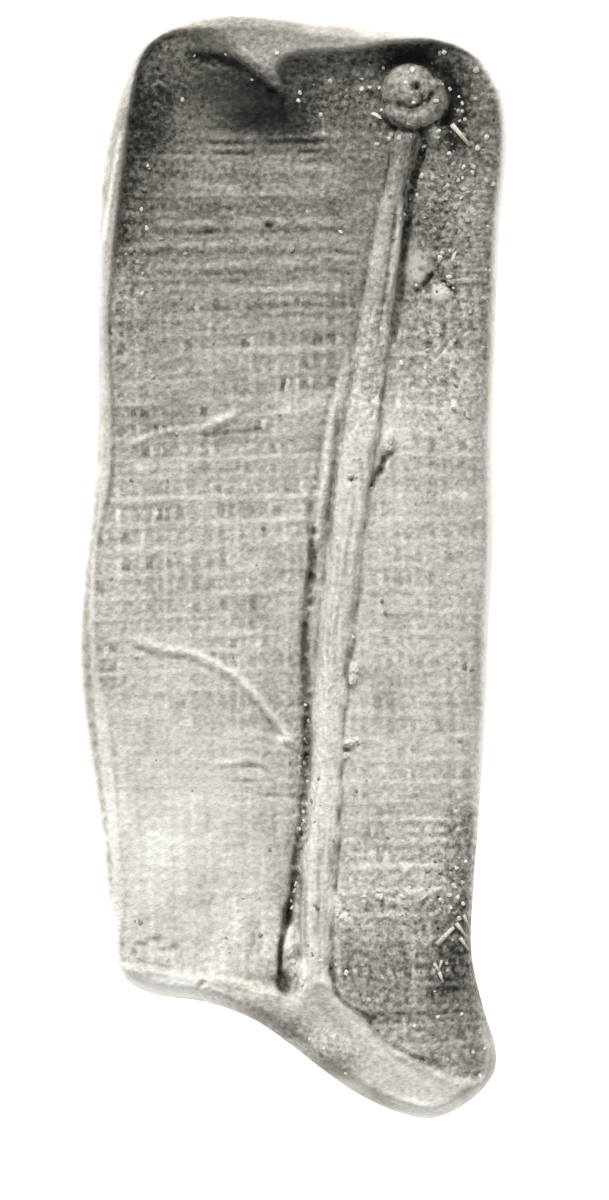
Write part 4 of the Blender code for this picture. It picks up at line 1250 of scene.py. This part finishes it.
def tone(spots, relief):
    """How much paler or darker the mud is: by its patches and painted shade, pale where smooth, pale with
    dust and painted highlight where raised, and dark with painted shade and dirt where low.
    """
    # The level from the foot to the top and its patches carry painted shade where the face turns from the
    # light or lies under the lip, together with darker and paler mud
    total = patched(spots, TONE_LEVELS, PATCHES)
    # Patches on the smooth mud, with painted shade on the foot's outer slope, beside the rib and right of the
    # knot
    smooth = sum(amount * oval(spots, *place) for *place, amount in SMOOTH_PATCHES)
    # The rib's own paler mud, with a painted highlight on its right flank
    rib_tone = RIB_TONE + RIGHT_FLANK_TONE * smooth_step(*RIGHT_FLANK, spots.beside_rib / spots.rib_half)
    lip_tone = LIP_TONE * smooth_step(*LIP_TONE_REACH, spots.from_edge)
    total += (rib_tone + smooth - np.minimum(total, 0)) * on_rib(spots)
    total += (lip_tone + smooth - np.minimum(total, 0)) * on_lip(spots)
    total += (KNOT_TONE + smooth - total) * on_knot(spots)
    # Painted highlight on the outer edge above the foot
    above_foot = smooth_step(*EDGE_TONE_START, spots.along)
    total += EDGE_TONE * smooth_step(*EDGE_TONE_REACH, spots.from_edge) * above_foot
    # Painted shade in the ring round the knot
    total += RING_TONE * knot_ring(spots)
    # Dust and painted highlight on single raised threads
    total += STRONG_THREAD_TONE * single_threads(spots, STRONG_THREADS)
    # Dirt and painted shade in the low rows between the wefts
    total += SUNKEN_ROW_TONE * single_threads(spots, SUNKEN_ROWS)
    # Stains, painted shade and painted highlights along lines
    for points, reach, amount in STAINS_AND_PAINTED_LIGHT.values():
        total += amount * stroke(spots, points, reach * MM, GROOVE_ENDS)
    # Dust and painted highlight on raised relief, dirt and painted shade in low relief
    shown = np.tanh(relief / FULL_RELIEF)
    return total + RAISED_TONE * np.maximum(shown, 0) + SUNKEN_TONE * np.minimum(shown, 0)


def grit(spots):
    """How gritty the face is: little where it was smoothed, much in patches of the print."""
    rough = patched(spots, GRIT_LEVELS, GRIT_PATCHES)
    smoothed = SMOOTH_GRIT + sum(amount * oval(spots, *place) for *place, amount in SMOOTH_GRIT_PATCHES)
    return rough + (smoothed - rough) * np.max((on_rib(spots), on_lip(spots), on_knot(spots)), axis=0)


def face_height(x, y):
    """Height of the finished face at places on the slab."""
    spots = Spots(x, y)
    return printed_face(spots, fine_relief(spots))


def mesh_from(name, bm, material, smooth=True):
    mesh = bpy.data.meshes.new(name)
    bm.to_mesh(mesh)
    bm.free()
    if smooth:
        mesh.shade_smooth()
    mesh.materials.append(material)
    return mesh


def grain_places(rng):
    """Places of the small grains, more of them where the face is gritty."""
    x = rng.uniform(-WIDTH / 2, WIDTH / 2, GRAIN_TRIES)
    y = rng.uniform(-LENGTH / 2, LENGTH / 2, GRAIN_TRIES)
    spots = Spots(x, y)
    share = np.full(x.shape, GRAIN_SHARE)
    for *place, amount in GRAIN_PATCHES:
        share += amount * oval(spots, *place)
    kept = (rng.uniform(0, 1, GRAIN_TRIES) < share) & (spots.in_print > GRAIN_CLEARANCE)
    return x[kept], y[kept]


def crumbs():
    """Crumbs and grains of lime stuck to the face, each a small chip sunk a little into it."""
    rng = np.random.default_rng(GRAIN_SEED)
    x, y, width, length = np.array(CRUMBS).T * MM
    grain_x, grain_y = grain_places(rng)
    grain_width = rng.uniform(*GRAIN_WIDTHS, len(grain_x)) * MM
    x, y = np.concatenate((x, grain_x)), np.concatenate((y, grain_y))
    grain_length = grain_width * rng.uniform(*GRAIN_LENGTHS, len(grain_x))
    width, length = np.concatenate((width, grain_width)), np.concatenate((length, grain_length))
    z = face_height(x, y)
    bm = bmesh.new()
    pale = bm.verts.layers.float.new("pale")
    for i in range(len(x)):
        listed = i < len(CRUMBS)
        cuts = CRUMB_CUTS if listed else GRAIN_CUTS
        chip = bmesh.ops.create_icosphere(bm, subdivisions=cuts, radius=UNIT_HALF)["verts"]
        size = Vector((width[i], length[i], CRUMB_FLATNESS * min(width[i], length[i])))
        turn = Matrix.Rotation(rng.uniform(-CRUMB_TURN, CRUMB_TURN), 3, "Z")
        place = Vector((x[i] - MIDDLE[0], y[i] - MIDDLE[1], z[i] + CRUMB_RISE * size.z))
        paleness = rng.uniform(*(CRUMB_PALENESS if listed else GRAIN_PALENESS))
        for vert in chip:
            vert.co = place + turn @ (vert.co * size * (1 + CRUMB_ROUGHNESS * rng.uniform(-1, 1)))
            vert[pale] = paleness
    return add_piece("lime_crumbs", mesh_from("lime_crumbs", bm, lime(), smooth=False))


def chaff():
    """Slivers of chaff that lie on the face."""
    bm = bmesh.new()
    for start, end, width in SLIVERS:
        ends = np.array((start, end)) * MM
        radius = width * MM / 2
        heights = face_height(*ends.T) + SLIVER_RISE * width * MM
        low, high = (Vector((*place - MIDDLE, height)) for place, height in zip(ends, heights))
        rod = bmesh.ops.create_cone(
            bm, cap_ends=True, segments=SLIVER_SIDES, radius1=radius, radius2=SLIVER_TAPER * radius,
            depth=(high - low).length,
        )["verts"]
        turn = (high - low).to_track_quat("Z", "Y").to_matrix().to_4x4()
        bmesh.ops.transform(bm, verts=rod, matrix=Matrix.Translation((low + high) / 2) @ turn)
    return add_piece("chaff_slivers", mesh_from("chaff_slivers", bm, straw()))


def pressed_mud():
    """The whole sealing, with every thread of the print in its mesh."""
    mesh = lattice_mesh()
    u, v, w = (read_points(mesh) + UNIT_HALF).T
    flat = spread(u, v)
    inset = UNDERSIDE_INSET * (1 - np.sqrt(1 - (1 - w) ** 2))
    spots = Spots(*(flat * (1 - 2 * inset[:, None] / (WIDTH, LENGTH))).T)
    upper = w > 1 - NEAR
    relief = fine_relief(spots) * upper
    z = np.where(upper, printed_face(spots, relief), domed_side(spots))
    write_points(mesh, np.column_stack((spots.x - MIDDLE[0], spots.y - MIDDLE[1], z)))
    paint(mesh, "tone", tone(spots, relief) * smooth_step(0, 1, w))
    paint(mesh, "grit", np.where(upper, grit(spots), SMOOTH_GRIT))
    for name, count in zip(("warp_count", "weft_count"), threads(spots)):
        paint(mesh, name, count)
    strengths, printed = print_strengths(spots), cloth_share(spots) * upper
    for name in ("pits", "slots", "columns"):
        paint(mesh, name, strengths[name] * printed)
    mesh.shade_smooth()
    mesh.materials.append(dried_mud())
    return add_piece("pressed_mud", mesh)


def add_piece(name, mesh):
    """Puts a mesh in the scene as a piece of the sealing."""
    piece = bpy.data.objects.new(name, mesh)
    bpy.context.scene.collection.objects.link(piece)
    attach(piece, "root")
    return piece


def linear(hex_colour):
    """Linear colour of an sRGB hex value."""
    parts = [int(hex_colour[i:i + 2], 16) / 255 for i in (1, 3, 5)]
    return [part / 12.92 if part <= 0.04045 else ((part + 0.055) / 1.055) ** 2.4 for part in parts] + [1.0]


def add_node(tree, kind, inputs=None, **settings):
    """Adds a node with its settings, and sets its inputs or links them to sockets or nodes' first outputs."""
    node = tree.nodes.new(kind)
    for name, value in settings.items():
        setattr(node, name, value)
    for socket, value in (inputs or {}).items():
        if isinstance(value, bpy.types.Node):
            tree.links.new(value.outputs[0], node.inputs[socket])
        elif isinstance(value, bpy.types.NodeSocket):
            tree.links.new(value, node.inputs[socket])
        else:
            node.inputs[socket].default_value = value
    return node


def new_material(name, roughness):
    """A material, its node tree and its shader."""
    material = bpy.data.materials.new(name)
    material.use_nodes = True
    shader = material.node_tree.nodes["Principled BSDF"]
    shader.inputs["Roughness"].default_value = roughness
    return material, material.node_tree, shader


def own_chance(tree, column_count, row_count, kind):
    """A number from 0 to 1 for each place in a grid over the weave, another one for each kind of mark."""
    column = add_node(tree, "ShaderNodeMath", {0: column_count}, operation="FLOOR")
    row = add_node(tree, "ShaderNodeMath", {0: row_count}, operation="FLOOR")
    place = add_node(tree, "ShaderNodeCombineXYZ", {"X": column, "Y": row, "Z": kind})
    return add_node(tree, "ShaderNodeTexWhiteNoise", {"Vector": place}, noise_dimensions="3D")


def weave_tone(tree, place):
    """Dirt, dust and painted light and shade that sharpen the print: dark pits and slots, and pale bars,
    bands and columns.
    """
    painted = {
        name: add_node(tree, "ShaderNodeAttribute", attribute_name=name).outputs["Fac"]
        for name in ("warp_count", "weft_count", "pits", "slots", "columns")
    }
    wander = add_node(
        tree, "ShaderNodeTexNoise", {"Vector": place, "Scale": 1 / (WANDER_SIZE * MM), "Detail": 2.0}
    )
    patches = add_node(
        tree, "ShaderNodeTexNoise", {"Vector": place, "Scale": 1 / (CLEAR_SIZE * MM), "Detail": 2.0}
    )

    # Counts of threads that wander a little, and distances from the nearest thread in pitches
    drift = add_node(tree, "ShaderNodeMath", {0: wander, 1: WANDER, 2: -WANDER / 2}, operation="MULTIPLY_ADD")
    warp = add_node(tree, "ShaderNodeMath", {0: painted["warp_count"], 1: drift}, operation="ADD")
    weft = add_node(tree, "ShaderNodeMath", {0: painted["weft_count"], 1: drift}, operation="ADD")
    from_warp = add_node(tree, "ShaderNodeMath", {0: warp, 1: 0.5}, operation="PINGPONG")
    from_weft = add_node(tree, "ShaderNodeMath", {0: weft, 1: 0.5}, operation="PINGPONG")
    from_strong_weft = add_node(tree, "ShaderNodeMath", {0: weft, 1: 1.0}, operation="PINGPONG")

    # A grid for each kind of mark, in which each place has its own chance
    gap_count = add_node(tree, "ShaderNodeMath", {0: warp, 1: 0.5}, operation="ADD")
    row_count = add_node(tree, "ShaderNodeMath", {0: weft, 1: 0.5}, operation="MULTIPLY")
    band_count = add_node(tree, "ShaderNodeMath", {0: warp, 1: BAND_STEP}, operation="MULTIPLY")
    column_row = add_node(tree, "ShaderNodeMath", {0: weft, 1: COLUMN_STEP}, operation="MULTIPLY")
    grids = {
        "pit": (warp, row_count), "bar": (gap_count, row_count), "band": (band_count, row_count),
        "slot": (band_count, weft), "column": (gap_count, column_row),
    }
    chances = {
        mark: own_chance(tree, *grid, kind) for kind, (mark, grid) in enumerate(grids.items(), start=1)
    }
    column = add_node(tree, "ShaderNodeMath", {0: chances["column"], 1: COLUMN_MIDDLE}, operation="SUBTRACT")

    # How much of a mark each distance and each chance lets show, in smooth steps
    steps = {
        "clear": (patches, CLEAR_LEVELS),
        "between warps": (from_warp, BETWEEN_WARPS), "on a warp": (from_warp, ON_WARP),
        "between wefts": (from_weft, BETWEEN_WEFTS),
        "between strong wefts": (from_strong_weft, BETWEEN_STRONG_WEFTS),
        "on a strong weft": (from_strong_weft, ON_STRONG_WEFT),
        "pit": (chances["pit"], PIT_CHANCES), "bar": (chances["bar"], BAR_CHANCES),
        "slot": (chances["slot"], SLOT_CHANCES),
    }
    shown = {
        name: add_node(
            tree, "ShaderNodeMapRange", {"Value": value, "From Min": start, "From Max": full},
            interpolation_type="SMOOTHSTEP",
        )
        for name, (value, (start, full)) in steps.items()
    }

    # Each kind of mark is a tone times all that it depends on
    rows = (painted["pits"], shown["clear"], shown["between strong wefts"])
    marks = (
        (PIT_TONE, *rows, shown["between warps"], shown["pit"]),
        (BAR_TONE, *rows, shown["on a warp"], shown["bar"]),
        (BAND_TONE, painted["pits"], shown["clear"], shown["on a strong weft"], chances["band"]),
        (SLOT_TONE, painted["slots"], shown["between wefts"], shown["slot"]),
        (COLUMN_TONE, painted["columns"], shown["on a warp"], column),
    )
    level = 0.0
    for mark, *factors in marks:
        for factor in factors:
            mark = add_node(tree, "ShaderNodeMath", {0: mark, 1: factor}, operation="MULTIPLY")
        level = add_node(tree, "ShaderNodeMath", {0: level, 1: mark}, operation="ADD")
    return level


def dried_mud():
    """Unfired river mud, pressed wet and dried: matt, grainy, with dirt and painted shade in its pits and
    dust and painted highlight on its threads.
    """
    material, tree, shader = new_material("dried_mud", roughness=0.9)
    shader.inputs["Specular IOR Level"].default_value = 0.3
    place = add_node(tree, "ShaderNodeTexCoord").outputs["Object"]
    mud_tone = add_node(tree, "ShaderNodeAttribute", attribute_name="tone").outputs["Fac"]
    gritty = add_node(tree, "ShaderNodeAttribute", attribute_name="grit").outputs["Fac"]

    # Silt and sand grains, which also make the surface rough
    silt = add_node(
        tree, "ShaderNodeTexNoise",
        {"Vector": place, "Scale": 1 / (GRAIN_SIZE * MM), "Detail": 2.0, "Roughness": 0.6},
    )
    grains = add_node(
        tree, "ShaderNodeMapRange",
        {"Value": silt, "From Min": GRAIN_RANGE[0], "From Max": GRAIN_RANGE[1],
         "To Min": -1.0, "To Max": 1.0},
        clamp=False,
    )
    grit_share = add_node(
        tree, "ShaderNodeMath", {0: gritty, 1: GRIT_CONTRAST, 2: GRAIN_CONTRAST}, operation="MULTIPLY_ADD"
    )
    grain_tone = add_node(tree, "ShaderNodeMath", {0: grains, 1: grit_share}, operation="MULTIPLY")
    bump = add_node(tree, "ShaderNodeBump", {"Height": silt, "Distance": BUMP_HEIGHT * MM})
    tree.links.new(bump.outputs["Normal"], shader.inputs["Normal"])

    # Pale and dark specks, more of them where the mud is gritty
    specks = add_node(tree, "ShaderNodeTexVoronoi", {"Vector": place, "Scale": 1 / (SPECK_PITCH * MM)})
    speck_shape = add_node(
        tree, "ShaderNodeMapRange",
        {"Value": specks.outputs["Distance"], "From Min": SPECK_RADII[0], "From Max": SPECK_RADII[1],
         "To Min": 1.0, "To Max": 0.0},
        interpolation_type="SMOOTHSTEP",
    )
    speck_kind = add_node(tree, "ShaderNodeSeparateColor", {"Color": specks.outputs["Color"]})
    speck_colour = add_node(
        tree, "ShaderNodeMapRange",
        {"Value": speck_kind.outputs["Red"], "To Min": SPECK_TONES[0], "To Max": SPECK_TONES[1]},
    )
    gritty_speck = add_node(tree, "ShaderNodeMath", {0: speck_shape, 1: gritty}, operation="MULTIPLY")
    speck_tone = add_node(tree, "ShaderNodeMath", {0: gritty_speck, 1: speck_colour}, operation="MULTIPLY")

    # Broad clouding of mud that dried unevenly
    clouds = add_node(
        tree, "ShaderNodeTexNoise", {"Vector": place, "Scale": 1 / (CLOUD_SIZE * MM), "Detail": 3.0}
    )
    cloud_tone = add_node(
        tree, "ShaderNodeMapRange",
        {"Value": clouds, "From Min": CLOUD_RANGE[0], "From Max": CLOUD_RANGE[1],
         "To Min": -CLOUD_TONE, "To Max": CLOUD_TONE},
    )

    # All tones add up to one level, from the darkest dirt and painted shade to pale dust and painted
    # highlight
    level = BASE_LEVEL
    for part in (grain_tone, mud_tone, speck_tone, cloud_tone, weave_tone(tree, place)):
        level = add_node(tree, "ShaderNodeMath", {0: level, 1: part}, operation="ADD")
    shade = add_node(
        tree, "ShaderNodeMapRange", {"Value": level, "From Min": LEVEL_RANGE[0], "From Max": LEVEL_RANGE[1]}
    )
    colours = add_node(tree, "ShaderNodeValToRGB", {"Fac": shade})
    set_stops(colours.color_ramp, MUD_COLOURS)
    tree.links.new(colours.outputs["Color"], shader.inputs["Base Color"])
    return material


def set_stops(ramp, stops):
    """Gives a colour ramp its places and sRGB colours."""
    ramp.elements.remove(ramp.elements[0])
    for position, hex_colour in stops[:-1]:
        ramp.elements.new(position).color = linear(hex_colour)
    ramp.elements[-1].position = stops[-1][0]
    ramp.elements[-1].color = linear(stops[-1][1])


def lime():
    """Lime and salt that bloomed in grains on the mud: matt, chalk white where thick, mud grey where thin."""
    material, tree, shader = new_material("lime_grains", roughness=0.95)
    place = add_node(tree, "ShaderNodeTexCoord").outputs["Object"]
    pale = add_node(tree, "ShaderNodeAttribute", attribute_name="pale").outputs["Fac"]
    unevenness = add_node(
        tree, "ShaderNodeTexNoise", {"Vector": place, "Scale": 1 / (LIME_GRIT_SIZE * MM), "Detail": 2.0}
    )
    thickness = add_node(
        tree, "ShaderNodeMath", {0: unevenness, 1: LIME_UNEVENNESS, 2: pale}, operation="MULTIPLY_ADD"
    )
    whiteness = add_node(tree, "ShaderNodeMath", {0: thickness, 1: LIME_UNEVENNESS / 2}, operation="SUBTRACT")
    colours = add_node(tree, "ShaderNodeValToRGB", {"Fac": whiteness})
    set_stops(colours.color_ramp, LIME_COLOURS)
    tree.links.new(colours.outputs["Color"], shader.inputs["Base Color"])
    return material


def straw():
    """Chopped straw: pale, finely mottled by its fibres, with a faint sheen."""
    material, tree, shader = new_material("chopped_straw", roughness=0.7)
    place = add_node(tree, "ShaderNodeTexCoord").outputs["Object"]
    fibre = add_node(
        tree, "ShaderNodeTexNoise", {"Vector": place, "Scale": 1 / (FIBRE_SIZE * MM), "Detail": 1.0}
    )
    colours = add_node(tree, "ShaderNodeValToRGB", {"Fac": fibre})
    set_stops(colours.color_ramp, STRAW_COLOURS)
    tree.links.new(colours.outputs["Color"], shader.inputs["Base Color"])
    return material


def white_card():
    """Matt white card, with a little light of its own so that the ground stays white under the shadows."""
    material, _, shader = new_material("white_card", roughness=0.9)
    shader.inputs["Base Color"].default_value = linear(FLOOR_COLOUR)
    shader.inputs["Emission Color"].default_value = linear(SKY_COLOUR)
    shader.inputs["Emission Strength"].default_value = FLOOR_GLOW
    return material


def camera():
    """A long lens straight above the sealing, so that its outline has no perspective."""
    data = bpy.data.cameras.new("camera")
    data.lens = data.sensor_width * CAMERA_HEIGHT / VIEW_HEIGHT
    seen_from = bpy.data.objects.new("camera", data)
    seen_from.location = (CAMERA_AIM[0], CAMERA_AIM[1], CAMERA_AIM[2] + CAMERA_HEIGHT)
    bpy.context.scene.collection.objects.link(seen_from)
    bpy.context.scene.camera = seen_from


def key_light():
    data = bpy.data.lights.new("key_light", "AREA")
    data.shape = "DISK"
    data.size = KEY_WIDTH
    data.energy = KEY_POWER
    lamp = bpy.data.objects.new("key_light", data)
    length = math.sqrt(sum(part ** 2 for part in KEY_DIRECTION))
    lamp.location = [part / length * KEY_DISTANCE for part in KEY_DIRECTION]
    lamp.rotation_euler = lamp.location.to_track_quat("Z", "Y").to_euler()
    lamp.visible_camera = False
    bpy.context.scene.collection.objects.link(lamp)


def sky():
    world = bpy.data.worlds.new("sky")
    world.use_nodes = True
    background = world.node_tree.nodes["Background"]
    background.inputs["Color"].default_value = linear(SKY_COLOUR)
    background.inputs["Strength"].default_value = SKY_STRENGTH
    bpy.context.scene.world = world


def floor():
    bm = bmesh.new()
    bmesh.ops.create_grid(bm, x_segments=1, y_segments=1, size=FLOOR_SIZE / 2)
    piece = bpy.data.objects.new("floor", mesh_from("floor", bm, white_card(), smooth=False))
    bpy.context.scene.collection.objects.link(piece)


bpy.context.scene.view_settings.view_transform = "Standard"
camera()
key_light()
sky()
floor()
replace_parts(pressed_mud(), "sealing")
crumbs()
chaff()
